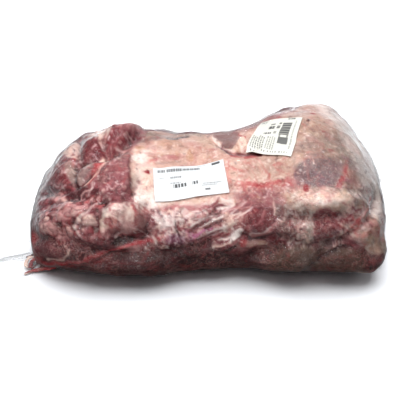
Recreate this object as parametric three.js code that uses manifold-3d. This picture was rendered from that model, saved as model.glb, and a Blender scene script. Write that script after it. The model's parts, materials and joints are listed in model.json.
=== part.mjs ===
// A raw boneless veal shoulder in its clear vacuum bag, lying flat, with two paper labels on top.
// Millimetres. +X runs along the shoulder, -Y is the long side towards the viewer, +Z is up.
// The origin is on the table, below the middle of the whole pack.
//
// The bag clings to the meat, so bag and meat are one solid with the meat's outer form. The two
// ends where the film lies on itself are thin sheets joined to it: a wide flap with an ear that
// lies on the table at the left, and a narrow seal with a small ear at the right.
import * as THREE from "three";
import Module from "manifold-3d";

// ---- Driving dimensions -------------------------------------------------------------------
const HALF_LENGTH = 206; // half the length of the filled part of the bag
// Nine even steps and two ends: how far the side reaches to the front, to the back, and up.
const STATIONS = [
  { front: 102, back: 92, height: 66 },
  { front: 108, back: 99, height: 99 },
  { front: 111, back: 101, height: 113 },
  { front: 113, back: 100, height: 115 },
  { front: 110, back: 95, height: 109 },
  { front: 103, back: 92, height: 106 },
  { front: 98, back: 95, height: 106 },
  { front: 100, back: 108, height: 112 },
  { front: 108, back: 127, height: 125 },
  { front: 112, back: 139, height: 133 },
  { front: 112, back: 130, height: 127 },
  { front: 108, back: 106, height: 100 },
];
const WIDEST_SHARE = 0.42; // the section is widest at this share of its height
const UPPER_SQUARENESS = 2.5; // superellipse power of the section above its widest line
const LOWER_SQUARENESS = 3.2; // and below it
const PLAN_SQUARENESS = 5; // of the ends, seen from above
const SIDE_SQUARENESS = 4; // of the ends, seen from the side
const LEFT_TIP_HEIGHT = 34;
const RIGHT_TIP_HEIGHT = 50;
const SAG = 3; // the lowest 3 mm are pressed flat against the table
const END_SKEW = 0.05; // the left end leans: its front corner reaches further out
const END_SHIFT = 3;
const SKEW_FROM = -90;

const FILM = 1.6; // two films lying on each other, with the air and juice between them
const LABEL_THICKNESS = 0.6;
const LABEL_GAP = 0.4; // between a label and the bag
const LABEL_BED = { from: -0.5, to: 7 }; // the space kept clear for a label, above the bag's skin
const LABEL_MARGIN = 0.012; // the cleared space reaches past the label by this share of its size

// ---- How finely the surface is divided ------------------------------------------------------
const RINGS = 68; // along the shoulder
const UPPER_STEPS = 50; // round the section, from low on the back over the top to low on the front
const LOWER_STEPS = 14; // under it
const UPPER_FROM = -18; // degrees
const UPPER_TO = 200;

// ---- The meat's relief ------------------------------------------------------------------------
// A place on the surface is [x in mm, degrees round the section]: 0 is the back, 90 the top and
// 180 the front. A bulge is a muscle or lump of fat; along and across are its half-lengths in mm,
// and turn is how far its long axis is turned from X towards the front, in degrees.
const BULGES = [
  { name: "rolled shank muscle", at: [-100, 68], along: 42, across: 17, turn: -28, rise: 8 },
  { name: "neck end muscle", at: [-135, 84], along: 20, across: 15, turn: 20, rise: 4.5 },
  { name: "end muscle", at: [-172, 90], along: 20, across: 27, turn: -20, rise: 4 },
  { name: "gristle strip", at: [-134, 102], along: 22, across: 11, turn: -30, rise: 3 },
  { name: "clod muscle", at: [-100, 112], along: 24, across: 40, turn: 0, rise: 6.5 },
  { name: "fat lump", at: [-146, 136], along: 24, across: 16, turn: 0, rise: 5.5 },
  { name: "small fat lump", at: [-178, 138], along: 15, across: 15, turn: 0, rise: 4 },
  { name: "cream lump", at: [-97, 139], along: 26, across: 19, turn: 10, rise: 6.5 },
  { name: "low end muscle", at: [-166, 170], along: 26, across: 14, turn: -10, rise: 3.5 },
  { name: "low middle muscle", at: [-120, 162], along: 26, across: 15, turn: 0, rise: 3.5 },
  { name: "left table roll", at: [-98, 184], along: 60, across: 14, turn: 0, rise: 3 },
  { name: "back membrane", at: [-30, 78], along: 50, across: 22, turn: 0, rise: 2.5 },
  { name: "front middle roll", at: [10, 170], along: 46, across: 14, turn: 5, rise: 3 },
  { name: "round dark muscle", at: [58, 152], along: 26, across: 17, turn: 15, rise: 4 },
  { name: "blade dome", at: [112, 92], along: 58, across: 52, turn: 0, rise: 3 },
  { name: "fat ridge", at: [124, 138], along: 46, across: 12, turn: -4, rise: 7.5 },
  { name: "corner lump", at: [178, 156], along: 20, across: 26, turn: -20, rise: 5 },
  { name: "right table roll", at: [88, 184], along: 38, across: 15, turn: 0, rise: 5 },
  { name: "right corner roll", at: [153, 184], along: 30, across: 14, turn: 0, rise: 4 },
  { name: "back left muscle", at: [-120, 18], along: 46, across: 24, turn: 8, rise: 5 },
  { name: "back middle muscle", at: [-38, 8], along: 40, across: 24, turn: -12, rise: 4 },
  { name: "back right muscle", at: [70, 14], along: 52, across: 26, turn: 10, rise: 5 },
  { name: "back right knuckle", at: [150, 30], along: 34, across: 28, turn: -15, rise: 5 },
];
// A crease is a groove between muscles, through the places listed.
const CREASES = [
  { name: "under the shank muscle", wide: 7, deep: 7,
    through: [[-68, 42], [-86, 76], [-99, 88], [-117, 93], [-139, 94], [-151, 97]] },
  { name: "neck end", wide: 6, deep: 4.5, through: [[-122, 70], [-121, 82], [-116, 92]] },
  { name: "end seam", wide: 6, deep: 4, through: [[-157, 62], [-153, 78], [-152, 91], [-150, 105]] },
  { name: "sinew slant", wide: 6, deep: 5,
    through: [[-189, 98], [-165, 112], [-143, 111], [-119, 102], [-97, 90]] },
  { name: "under the clod muscle", wide: 7, deep: 5,
    through: [[-180, 118], [-145, 122], [-112, 129], [-86, 128], [-74, 112]] },
  { name: "fat pocket", wide: 6, deep: 6, through: [[-119, 152], [-115, 140], [-109, 130]] },
  { name: "low left", wide: 7, deep: 5,
    through: [[-195, 155], [-159, 157], [-131, 168], [-94, 177], [-60, 173]] },
  { name: "dark hollow", wide: 10, deep: 8, through: [[-96, 158], [-78, 162], [-62, 157]] },
  { name: "left of the middle", wide: 8, deep: 4, through: [[-66, 132], [-60, 147], [-66, 164]] },
  { name: "behind the label", wide: 6, deep: 4.5, through: [[18, 76], [28, 84], [44, 88], [58, 88]] },
  { name: "front middle", wide: 8, deep: 4.5,
    through: [[-42, 174], [-6, 171], [30, 160], [56, 168], [92, 166]] },
  { name: "under the fat ridge", wide: 9, deep: 5, through: [[92, 150], [118, 152], [142, 149]] },
  { name: "corner seam", wide: 7, deep: 5, through: [[197, 117], [184, 138], [168, 157], [150, 170]] },
  { name: "right table seam", wide: 7, deep: 5,
    through: [[52, 180], [70, 178], [88, 172], [110, 175], [140, 172], [160, 176]] },
  { name: "table roll split", wide: 7, deep: 4, through: [[116, 198], [120, 186], [134, 176]] },
  { name: "back left seam", wide: 8, deep: 5, through: [[-166, 36], [-128, 42], [-84, 36], [-66, 12]] },
  { name: "back middle seam", wide: 8, deep: 5, through: [[-66, 12], [-8, 24], [22, 4], [16, -12]] },
  { name: "back right seam", wide: 8, deep: 5, through: [[22, 4], [56, 38], [104, 44], [132, 16]] },
];
// Small uneven lumps all over, spread by the golden ratio so that none line up.
const LUMPS = 170;
const LUMP_RADIUS = 12;
const LUMP_RISE = 1.5;
const CLEAR_OF_TABLE = 14; // the relief fades out below this height, so that the underside stays flat

// ---- The two sheets of film at the ends --------------------------------------------------------
// outer is the film's free edge and root the line inside the pack that it grows from.
const LEFT_FLAP = {
  outer: [
    [-181, 83, 70], [-196, 57, 58], [-205, 17, 45], [-210, -15, 32], [-220, -41, 18],
    [-238, -56, 6], [-254, -66, 2.4], [-238, -82, 1.6], [-208, -91, 1.4], [-184, -88, 2],
  ],
  root: [
    [-168, 76, 66], [-180, 54, 55], [-188, 17, 43], [-190, -15, 32], [-189, -40, 24],
    [-187, -52, 18], [-185, -60, 15], [-183, -66, 13], [-180, -72, 11], [-176, -76, 10],
  ],
};
const RIGHT_SEAL = {
  outer: [
    [198, 78, 60], [209, 44, 62], [214, 10, 60], [214.5, -20, 52], [214, -42, 38],
    [213, -56, 20], [211, -68, 6], [204, -78, 2], [192, -84, 1.6],
  ],
  root: [
    [180, 70, 58], [190, 40, 58], [194, 10, 56], [194, -18, 50], [192, -38, 40],
    [190, -50, 28], [186, -58, 18], [180, -64, 14], [174, -70, 12],
  ],
};
const FLAP_STEPS_ROUND = 30;
const FLAP_STEPS_OUT = 5;
const FLAP_RIPPLE = 1.1;

// ---- The labels: their corners as places on the surface, left to right, back edge first ----------
const WEIGHT_LABEL = { corners: [[-60, 100], [20, 92], [26, 121], [-56, 127]], steps: [12, 8] };
const TRACE_LABEL = { corners: [[68, 58], [115, 74], [96, 101], [46, 88]], steps: [9, 10] };

// ---- Small mathematics -----------------------------------------------------------------------------
const radians = (degrees) => (degrees * Math.PI) / 180;
const clamp = (value, low, high) => Math.min(high, Math.max(low, value));
const signedPower = (value, power) => Math.sign(value) * Math.abs(value) ** power;

function smoothstep(from, to, value) {
  const t = clamp((value - from) / (to - from), 0, 1);
  return t * t * (3 - 2 * t);
}

// A smooth curve through evenly spaced values, at share 0 to 1 of its run.
function throughValues(values, share) {
  const last = values.length - 1;
  const along = clamp(share, 0, 1) * last;
  const i = Math.min(Math.floor(along), last - 1);
  const f = along - i;
  const at = (k) => values[clamp(k, 0, last)];
  const [a, b, c, d] = [at(i - 1), at(i), at(i + 1), at(i + 2)];
  return 0.5 * (2 * b + (c - a) * f + (2 * a - 5 * b + 4 * c - d) * f ** 2
    + (3 * b - a - 3 * c + d) * f ** 3);
}

const stationAt = (share, key) => throughValues(STATIONS.map((s) => s[key]), share);

function pointOnPath(path, share) {
  return new THREE.Vector3(...[0, 1, 2].map((k) => throughValues(path.map((p) => p[k]), share)));
}

// ---- The plain form of the filled bag ----------------------------------------------------------------
// Each section is half one superellipse above its widest line and half another below it. Towards
// the ends it shrinks to a tip, in width by one power and in height by another.
function plainSurface(x, degrees) {
  const share = (x + HALF_LENGTH) / (2 * HALF_LENGTH);
  const height = stationAt(share, "height");
  const reach = clamp(Math.abs(x) / HALF_LENGTH, 0, 1);
  const planScale = (1 - reach ** PLAN_SQUARENESS) ** (1 / PLAN_SQUARENESS);
  const sideScale = (1 - reach ** SIDE_SQUARENESS) ** (1 / SIDE_SQUARENESS);
  const widest = WIDEST_SHARE * height;
  const tip = LEFT_TIP_HEIGHT
    + (RIGHT_TIP_HEIGHT - LEFT_TIP_HEIGHT) * smoothstep(-HALF_LENGTH, HALF_LENGTH, x);
  const middle = widest + (tip - widest) * (1 - sideScale);
  const [c, s] = [Math.cos(radians(degrees)), Math.sin(radians(degrees))];
  const power = 2 / (s >= 0 ? UPPER_SQUARENESS : LOWER_SQUARENESS);
  const y = signedPower(c, power) * stationAt(share, c < 0 ? "front" : "back") * planScale;
  const z = middle + signedPower(s, power) * (s >= 0 ? height - widest : widest) * sideScale;
  const pressed = (Math.max(0, z - SAG) * height) / (height - SAG);
  const lean = smoothstep(SKEW_FROM, -HALF_LENGTH, x) * (END_SKEW * y + END_SHIFT);
  return new THREE.Vector3(x + lean, y, pressed);
}

function outwardNormal(x, degrees) {
  const dx = 1.5;
  const turn = 1.5;
  const from = clamp(x - dx, -HALF_LENGTH, HALF_LENGTH);
  const to = clamp(x + dx, -HALF_LENGTH, HALF_LENGTH);
  const along = plainSurface(to, degrees).sub(plainSurface(from, degrees));
  const round = plainSurface(x, degrees + turn).sub(plainSurface(x, degrees - turn));
  return round.cross(along).normalize();
}

// ---- Relief ---------------------------------------------------------------------------------------------
// A bulge's axes lie in the surface at its middle: one turned from X, one square to it.
function preparedBulge({ at, along, across, turn, rise }) {
  const centre = plainSurface(...at);
  const normal = outwardNormal(...at);
  const sideways = new THREE.Vector3().crossVectors(normal, new THREE.Vector3(1, 0, 0)).normalize();
  const lengthways = new THREE.Vector3().crossVectors(sideways, normal).normalize();
  const angle = radians(turn);
  const first = lengthways.clone().multiplyScalar(Math.cos(angle))
    .addScaledVector(sideways, -Math.sin(angle));
  const second = new THREE.Vector3().crossVectors(normal, first);
  return { centre, first, second, normal, along, across, rise };
}

function bulgeHeight(bulge, point) {
  const away = point.clone().sub(bulge.centre);
  const far = (away.dot(bulge.first) / bulge.along) ** 2
    + (away.dot(bulge.second) / bulge.across) ** 2
    + (away.dot(bulge.normal) / Math.max(bulge.along, bulge.across)) ** 2;
  return bulge.rise * Math.exp(-(far ** 1.5));
}

function preparedCrease({ wide, deep, through }) {
  const points = through.map((place) => plainSurface(...place));
  const runs = points.slice(1).map((end, i) => new THREE.Line3(points[i], end));
  return { runs, wide, deep };
}

function creaseDepth(crease, point) {
  const nearest = new THREE.Vector3();
  const gaps = crease.runs.map((run) =>
    run.closestPointToPoint(point, true, nearest).distanceTo(point));
  return crease.deep * Math.exp(-((Math.min(...gaps) / crease.wide) ** 2));
}

const GOLDEN = (Math.sqrt(5) - 1) / 2;
const SILVER = Math.SQRT2 - 1;
const share = (value) => value - Math.floor(value);

// Lump number i lies at the golden share of the length and the silver share of the girth.
function preparedLump(i) {
  const x = (share(i * GOLDEN) - 0.5) * 2 * (HALF_LENGTH - LUMP_RADIUS);
  const degrees = UPPER_FROM + share(i * SILVER) * (UPPER_TO - UPPER_FROM);
  const size = 0.6 + 0.8 * share(i * GOLDEN * SILVER);
  return {
    centre: plainSurface(x, degrees),
    radius: LUMP_RADIUS * size,
    rise: LUMP_RISE * size * (i % 3 === 0 ? -1 : 1),
  };
}

const bulges = BULGES.map(preparedBulge);
const creases = CREASES.map(preparedCrease);
const lumps = Array.from({ length: LUMPS }, (_, i) => preparedLump(i + 1));

function relief(point) {
  const raised = bulges.reduce((sum, bulge) => sum + bulgeHeight(bulge, point), 0);
  const cut = creases.reduce((sum, crease) => sum + creaseDepth(crease, point), 0);
  const uneven = lumps.reduce((sum, lump) =>
    sum + lump.rise * Math.exp(-((point.distanceTo(lump.centre) / lump.radius) ** 2)), 0);
  return (raised - cut + uneven) * smoothstep(0, CLEAR_OF_TABLE, point.z);
}

function packSurface(x, degrees, lift = 0) {
  const point = plainSurface(x, degrees);
  return point.addScaledVector(outwardNormal(x, degrees), relief(point) + lift);
}

// ---- Meshes ---------------------------------------------------------------------------------------------
// The triangles are listed either way round and turned to face outwards here: a closed surface
// whose triangles face outwards encloses a volume above zero.
function geometryOf(points, triangles) {
  let volume = 0;
  for (let i = 0; i < triangles.length; i += 3) {
    const [a, b, c] = [0, 1, 2].map((k) => points[triangles[i + k]]);
    volume += a.dot(new THREE.Vector3().crossVectors(b, c)) / 6;
  }
  const geometry = new THREE.BufferGeometry();
  geometry.setAttribute("position", new THREE.Float32BufferAttribute(
    points.flatMap((p) => [p.x, p.y, p.z]), 3));
  geometry.setIndex(volume < 0 ? [...triangles].reverse() : triangles);
  geometry.computeVertexNormals();
  return geometry;
}

// Degrees round the section for each column: close together where it shows, wider underneath.
function columnAngles() {
  const upper = Array.from({ length: UPPER_STEPS }, (_, j) =>
    UPPER_FROM + ((UPPER_TO - UPPER_FROM) * j) / UPPER_STEPS);
  const lower = Array.from({ length: LOWER_STEPS }, (_, j) =>
    UPPER_TO + ((360 + UPPER_FROM - UPPER_TO) * j) / LOWER_STEPS);
  return [...upper, ...lower];
}

// The filled bag: rings of points from the left tip to the right tip, closed by a fan at each.
function filledBag() {
  const angles = columnAngles();
  const columns = angles.length;
  const points = [];
  for (let ring = 1; ring < RINGS; ring++) {
    const x = HALF_LENGTH * Math.sin((Math.PI * (ring / RINGS - 0.5)));
    angles.forEach((degrees) => points.push(packSurface(x, degrees)));
  }
  const leftTip = points.push(plainSurface(-HALF_LENGTH, 0)) - 1;
  const rightTip = points.push(plainSurface(HALF_LENGTH, 0)) - 1;
  const triangles = [];
  for (let ring = 0; ring < RINGS - 2; ring++) {
    for (let column = 0; column < columns; column++) {
      const next = (column + 1) % columns;
      const [a, b] = [ring * columns + column, ring * columns + next];
      const [c, d] = [a + columns, b + columns];
      triangles.push(a, c, b, b, c, d);
    }
  }
  for (let column = 0; column < columns; column++) {
    const next = (column + 1) % columns;
    const lastRing = (RINGS - 2) * columns;
    triangles.push(leftTip, column, next);
    triangles.push(rightTip, lastRing + next, lastRing + column);
  }
  return geometryOf(points, triangles);
}

// A closed slab between an upper and a lower grid of points with the same rows and columns.
function slab(upper, lower, rows, columns) {
  const points = [...upper, ...lower];
  const under = upper.length;
  const at = (row, column) => row * columns + column;
  const triangles = [];
  for (let row = 0; row < rows - 1; row++) {
    for (let column = 0; column < columns - 1; column++) {
      const [a, b] = [at(row, column), at(row, column + 1)];
      const [c, d] = [at(row + 1, column), at(row + 1, column + 1)];
      triangles.push(a, b, c, b, d, c);
      triangles.push(under + a, under + c, under + b, under + b, under + c, under + d);
    }
  }
  const rim = [];
  for (let column = 0; column < columns - 1; column++) rim.push(at(0, column));
  for (let row = 0; row < rows - 1; row++) rim.push(at(row, columns - 1));
  for (let column = columns - 1; column > 0; column--) rim.push(at(rows - 1, column));
  for (let row = rows - 1; row > 0; row--) rim.push(at(row, 0));
  rim.forEach((a, i) => {
    const b = rim[(i + 1) % rim.length];
    triangles.push(a, under + a, b, b, under + a, under + b);
  });
  return geometryOf(points, triangles);
}

// A sheet of film from its root to its free edge, with a slight ripple that grows outwards.
function filmSheet({ outer, root }) {
  const rows = FLAP_STEPS_ROUND + 1;
  const columns = FLAP_STEPS_OUT + 1;
  const upper = [];
  const lower = [];
  for (let row = 0; row < rows; row++) {
    const round = row / FLAP_STEPS_ROUND;
    const inner = pointOnPath(root, round);
    const edge = pointOnPath(outer, round);
    for (let column = 0; column < columns; column++) {
      const out = column / FLAP_STEPS_OUT;
      const point = inner.clone().lerp(edge, out);
      const ripple = FLAP_RIPPLE * out * Math.sin(round * 26 + out * 2);
      point.z = Math.max(point.z + ripple, FILM / 2);
      upper.push(point.clone().setZ(point.z + FILM / 2));
      lower.push(point.clone().setZ(point.z - FILM / 2));
    }
  }
  return slab(upper, lower, rows, columns);
}

// A sheet that follows the pack between a label's four corners, from one lift above the bag's
// skin to another. It reaches past the corners by the margin, a share of the label's size.
function labelSheet({ corners, steps }, from, to, margin = 0) {
  const [backLeft, backRight, frontRight, frontLeft] = corners;
  const mix = (p, q, share) => {
    const t = share * (1 + 2 * margin) - margin;
    return [p[0] + (q[0] - p[0]) * t, p[1] + (q[1] - p[1]) * t];
  };
  const rows = steps[1] + 1;
  const columns = steps[0] + 1;
  const upper = [];
  const lower = [];
  for (let row = 0; row < rows; row++) {
    const left = mix(backLeft, frontLeft, row / steps[1]);
    const right = mix(backRight, frontRight, row / steps[1]);
    for (let column = 0; column < columns; column++) {
      const place = mix(left, right, column / steps[0]);
      upper.push(packSurface(...place, to));
      lower.push(packSurface(...place, from));
    }
  }
  return slab(upper, lower, rows, columns);
}

// ---- Joining --------------------------------------------------------------------------------------------
const wasm = await Module();
wasm.setup();

function solidOf(geometry) {
  return new wasm.Manifold(new wasm.Mesh({
    numProp: 3,
    vertProperties: geometry.attributes.position.array,
    triVerts: new Uint32Array(geometry.index.array),
  }));
}

function geometryOfSolid(solid) {
  const mesh = solid.getMesh();
  const geometry = new THREE.BufferGeometry();
  geometry.setAttribute("position", new THREE.BufferAttribute(mesh.vertProperties, 3));
  geometry.setIndex(new THREE.BufferAttribute(mesh.triVerts, 1));
  geometry.computeVertexNormals();
  return geometry;
}

function packGeometry() {
  const joined = solidOf(filledBag())
    .add(solidOf(filmSheet(LEFT_FLAP)))
    .add(solidOf(filmSheet(RIGHT_SEAL)));
  const beds = [WEIGHT_LABEL, TRACE_LABEL].map((label) =>
    solidOf(labelSheet(label, LABEL_BED.from, LABEL_BED.to, LABEL_MARGIN)));
  return geometryOfSolid(beds.reduce((solid, bed) => solid.subtract(bed), joined));
}

// ---- The pack -------------------------------------------------------------------------------------------
const meatInFilm = new THREE.MeshStandardMaterial({ color: 0xc08a82, roughness: 0.3, metalness: 0 });
const whitePaper = new THREE.MeshStandardMaterial({ color: 0xf7f8f6, roughness: 0.6, metalness: 0 });
const creamPaper = new THREE.MeshStandardMaterial({ color: 0xf2f0e2, roughness: 0.6, metalness: 0 });

function named(name, geometry, material) {
  const mesh = new THREE.Mesh(geometry, material);
  mesh.name = name;
  return mesh;
}

const pack = new THREE.Group();
pack.add(named("vacuum_bag", packGeometry(), meatInFilm));
const labelOnPack = (label) => labelSheet(label, LABEL_GAP, LABEL_GAP + LABEL_THICKNESS);
pack.add(named("weight_label", labelOnPack(WEIGHT_LABEL), whitePaper));
pack.add(named("trace_label", labelOnPack(TRACE_LABEL), creamPaper));

// The origin goes under the middle of the whole pack.
const extent = new THREE.Box3().setFromObject(pack);
pack.position.set(-(extent.min.x + extent.max.x) / 2, -(extent.min.y + extent.max.y) / 2, -extent.min.z);

export default pack;
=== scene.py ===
"""A raw boneless veal shoulder in its clear vacuum bag, lying on a pale table.

The meat, the film round it, the loose film at both ends and the two labels are surfaces worked out
on grids with numpy. They follow the same plain form as the solids: superellipse sections carried
along the shoulder. Lengths in the form are millimetres; meshes are written in metres in the frame.
"""

import json
import logging
import math
from collections.abc import Iterator
from dataclasses import dataclass, field
from enum import Enum

import bpy
import numpy as np
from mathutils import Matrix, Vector

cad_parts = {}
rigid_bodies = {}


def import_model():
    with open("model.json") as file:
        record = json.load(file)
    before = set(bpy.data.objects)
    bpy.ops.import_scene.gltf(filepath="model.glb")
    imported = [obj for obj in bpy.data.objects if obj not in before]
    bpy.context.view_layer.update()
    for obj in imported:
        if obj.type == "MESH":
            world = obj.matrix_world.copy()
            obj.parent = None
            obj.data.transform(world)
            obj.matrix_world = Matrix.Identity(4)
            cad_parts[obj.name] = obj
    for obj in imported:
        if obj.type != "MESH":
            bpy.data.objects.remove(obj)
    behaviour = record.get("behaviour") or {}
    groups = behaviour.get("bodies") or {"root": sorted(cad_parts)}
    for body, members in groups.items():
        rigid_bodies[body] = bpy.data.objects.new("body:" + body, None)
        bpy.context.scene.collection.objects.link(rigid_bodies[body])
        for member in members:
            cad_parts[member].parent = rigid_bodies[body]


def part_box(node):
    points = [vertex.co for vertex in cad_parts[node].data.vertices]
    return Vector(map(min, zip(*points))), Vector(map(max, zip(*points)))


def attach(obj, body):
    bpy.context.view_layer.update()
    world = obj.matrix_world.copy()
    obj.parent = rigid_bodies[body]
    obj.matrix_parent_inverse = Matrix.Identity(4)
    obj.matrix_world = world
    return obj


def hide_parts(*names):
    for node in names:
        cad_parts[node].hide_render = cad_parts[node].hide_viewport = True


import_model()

log = logging.getLogger("veal_shoulder")

MM = 0.001
ROOT = "root"

Place = tuple[float, float]
Pixel = tuple[float, float]
Point = tuple[float, float, float]


# ---- Small mathematics --------------------------------------------------------------------------
def smoothstep(low: float, high: float, value: np.ndarray) -> np.ndarray:
    """The usual smooth ramp, 3t^2 - 2t^3 with t running from 0 at low to 1 at high.

    Args:
        low: where the ramp starts.
        high: where it ends; it may be below low for a falling ramp.
        value: the values to ramp.

    Returns:
        Numbers from 0 to 1.
    """
    t = np.clip((value - low) / (high - low), 0.0, 1.0)
    return t * t * (3.0 - 2.0 * t)


def through_values(values: np.ndarray, share: np.ndarray) -> np.ndarray:
    """A Catmull-Rom curve through evenly spaced values, with its ends repeated.

    Args:
        values: one row for each of the evenly spaced values.
        share: where to read the curve, from 0 at its start to 1 at its end.

    Returns:
        The curve's values, one row for each share.
    """
    values = np.asarray(values, float)
    last = len(values) - 1
    along = np.clip(share, 0.0, 1.0) * last
    i = np.minimum(along.astype(int), last - 1)
    f = (along - i).reshape(along.shape + (1,) * (values.ndim - 1))
    a, b, c, d = (values[np.clip(i + k, 0, last)] for k in (-1, 0, 1, 2))
    return 0.5 * (2 * b + (c - a) * f + (2 * a - 5 * b + 4 * c - d) * f**2
                  + (3 * b - a - 3 * c + d) * f**3)


def arc_length(line: np.ndarray) -> np.ndarray:
    """The length along a line of points up to each of them, from 0 at the first."""
    return np.concatenate([[0.0], np.cumsum(np.linalg.norm(np.diff(line, axis=0), axis=1))])


def signed_power(value: np.ndarray, power: np.ndarray) -> np.ndarray:
    """The value's size raised to a power, with the value's sign."""
    return np.sign(value) * np.abs(value) ** power


def unit(vectors: np.ndarray) -> np.ndarray:
    """Each vector divided by its length."""
    return vectors / np.maximum(np.linalg.norm(vectors, axis=-1, keepdims=True), 1e-12)


def corner_slopes(cells: np.ndarray, seed: int) -> np.ndarray:
    """A fixed, scattered unit slope for each corner of a grid of cells, by hashing its numbers.

    Args:
        cells: whole-number corners, one row of two or three each.
        seed: a different seed gives a different scatter.

    Returns:
        Unit vectors of the same width as the cells.
    """
    primes = np.array([73856093, 19349663, 83492791][: cells.shape[-1]], np.int64)
    mixed = (cells * primes).sum(-1) + seed * 2654435
    slopes = np.empty(cells.shape)
    for axis in range(cells.shape[-1]):
        h = (mixed ^ (mixed >> 13)) * (1274126177 + 2 * axis * 15731)
        h = (h ^ (h >> 16)) & 0xFFFF
        slopes[..., axis] = h / 32767.5 - 1.0
    return unit(slopes)


def noise(points: np.ndarray, size: float, seed: int = 0) -> np.ndarray:
    """Gradient noise: each cell corner has a slope, and the slopes' planes are blended smoothly.

    Args:
        points: where to read it, one row of two or three numbers each.
        size: the width of a cell, in the points' own units.
        seed: picks another pattern.

    Returns:
        Values of about -0.7 to 0.7, one for each point.
    """
    scaled = points / size
    base = np.floor(scaled).astype(np.int64)
    inside = scaled - base
    fade = inside**3 * (inside * (inside * 6 - 15) + 10)
    width = points.shape[-1]
    total = np.zeros(points.shape[:-1])
    for corner in np.ndindex(*(2,) * width):
        step = np.array(corner)
        slope = corner_slopes(base + step, seed)
        weight = np.prod(np.where(step == 1, fade, 1.0 - fade), axis=-1)
        total += weight * (slope * (inside - step)).sum(-1)
    return total


def layered_noise(points: np.ndarray, size: float, layers: int, seed: int = 0) -> np.ndarray:
    """Gradient noise at several sizes, each half the size and half the strength of the last."""
    return sum(noise(points, size / 2**k, seed + 17 * k) / 2**k for k in range(layers))


def pixels(pairs: str) -> np.ndarray:
    """Rows of two numbers, read from a text such as "38,200 48,160"."""
    return np.array([pair.split(",") for pair in pairs.split()], float)


def inside_outline(points: np.ndarray, outline: np.ndarray) -> np.ndarray:
    """Whether each flat point is inside a closed outline, by counting the edges to its right.

    Args:
        points: rows of two numbers.
        outline: the outline's corners.

    Returns:
        True or False for each point.
    """
    inside = np.zeros(points.shape[:-1], bool)
    for start, end in zip(outline, np.roll(outline, -1, axis=0)):
        spans = (start[1] > points[..., 1]) != (end[1] > points[..., 1])
        rise = end[1] - start[1] if end[1] != start[1] else 1e-9
        cut = start[0] + (points[..., 1] - start[1]) * (end[0] - start[0]) / rise
        inside ^= spans & (points[..., 0] < cut)
    return inside


def distance_to_path(points: np.ndarray, path: np.ndarray) -> np.ndarray:
    """The distance from each point to the nearest place on a line of straight runs.

    Args:
        points: one row of two or three numbers each.
        path: the line's corners, in rows of the same width.

    Returns:
        One distance for each point.
    """
    nearest = np.full(points.shape[:-1], np.inf)
    for start, end in zip(path[:-1], path[1:]):
        run = end - start
        t = np.clip(((points - start) @ run) / max(run @ run, 1e-12), 0.0, 1.0)
        gap = np.linalg.norm(points - start - t[..., None] * run, axis=-1)
        nearest = np.minimum(nearest, gap)
    return nearest


def cell_pattern(points: np.ndarray, size: float, seed: int) -> tuple[np.ndarray, np.ndarray]:
    """Cells around scattered seeds, one in each box of a grid of this size.

    Args:
        points: rows of x, y and z.
        size: the width of a box.
        seed: picks another pattern.

    Returns:
        How far each point is from its cell's edge, 0 at the edge and about 0.5 in the middle, and
        a number from 0 to 1 that is the same all over a cell.
    """
    scaled = points / size
    base = np.floor(scaled).astype(np.int64)
    first = np.full(len(points), np.inf)
    second = first.copy()
    kind = np.zeros(len(points))
    for corner in np.ndindex(3, 3, 3):
        cell = base + np.array(corner) - 1
        slope = corner_slopes(cell, seed)
        gap = np.linalg.norm(scaled - cell - 0.5 - 0.38 * slope, axis=-1)
        nearer = gap < first
        second = np.where(nearer, first, np.minimum(second, gap))
        kind = np.where(nearer, (slope[:, 0] + slope[:, 1] * 3.7) % 1.0, kind)
        first = np.minimum(first, gap)
    return second - first, kind


# ---- The photo's view ----------------------------------------------------------------------------
@dataclass(frozen=True)
class PhotoView:
    """The camera's place, in the form's millimetres, and its scale in the 400 by 400 frame."""

    elevation: float = math.radians(38.0)
    distance: float = 1050.0
    aim: Point = (0.0, 0.0, 52.0)
    aim_px: Pixel = (206.0, 194.0)
    frame_px: float = 400.0
    width_at_aim: float = 478.0

    @property
    def forward(self) -> np.ndarray:
        """The direction the camera looks in."""
        return np.array([0.0, math.cos(self.elevation), -math.sin(self.elevation)])

    @property
    def upward(self) -> np.ndarray:
        """The direction that is up in the picture."""
        return np.array([0.0, math.sin(self.elevation), math.cos(self.elevation)])

    @property
    def place(self) -> np.ndarray:
        """Where the camera stands."""
        return np.array(self.aim) - self.distance * self.forward

    @property
    def focal_px(self) -> float:
        """The focal length in the picture's pixels."""
        return self.frame_px * self.distance / self.width_at_aim

    def pixels(self, points: np.ndarray) -> np.ndarray:
        """Where points show in the picture: the pinhole rule, size over distance.

        Args:
            points: rows of x, y and z in the form's millimetres.

        Returns:
            Rows of pixels from the left and from the top.
        """
        away = points - self.place
        depth = away @ self.forward
        across = self.aim_px[0] + self.focal_px * away[..., 0] / depth
        down = self.aim_px[1] - self.focal_px * (away @ self.upward) / depth
        return np.stack([across, down], -1)

    def place_at(self, px: np.ndarray, height: np.ndarray) -> np.ndarray:
        """Where the sight lines through pixels meet a height: the pinhole rule turned round.

        Args:
            px: rows of pixels from the left and from the top.
            height: one height in millimetres for each.

        Returns:
            Rows of x, y and z.
        """
        across = (px[:, 0] - self.aim_px[0]) / self.focal_px
        down = (px[:, 1] - self.aim_px[1]) / self.focal_px
        ray = (self.forward + across[:, None] * np.array([1.0, 0.0, 0.0])
               - down[:, None] * self.upward)
        far = (height - self.place[2]) / ray[:, 2]
        return self.place + ray * far[:, None]

    def facing(self, points: np.ndarray, normals: np.ndarray) -> np.ndarray:
        """How squarely each place faces the camera: 1 squarely, 0 edge on, below 0 away."""
        return (unit(self.place - points) * normals).sum(-1)


# ---- The plain form ------------------------------------------------------------------------------
@dataclass(frozen=True)
class Bulge:
    """A muscle or lump of fat: its middle [x, degrees], half-lengths, turn in degrees and rise."""

    at: Place
    along: float
    across: float
    turn: float
    rise: float


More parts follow.
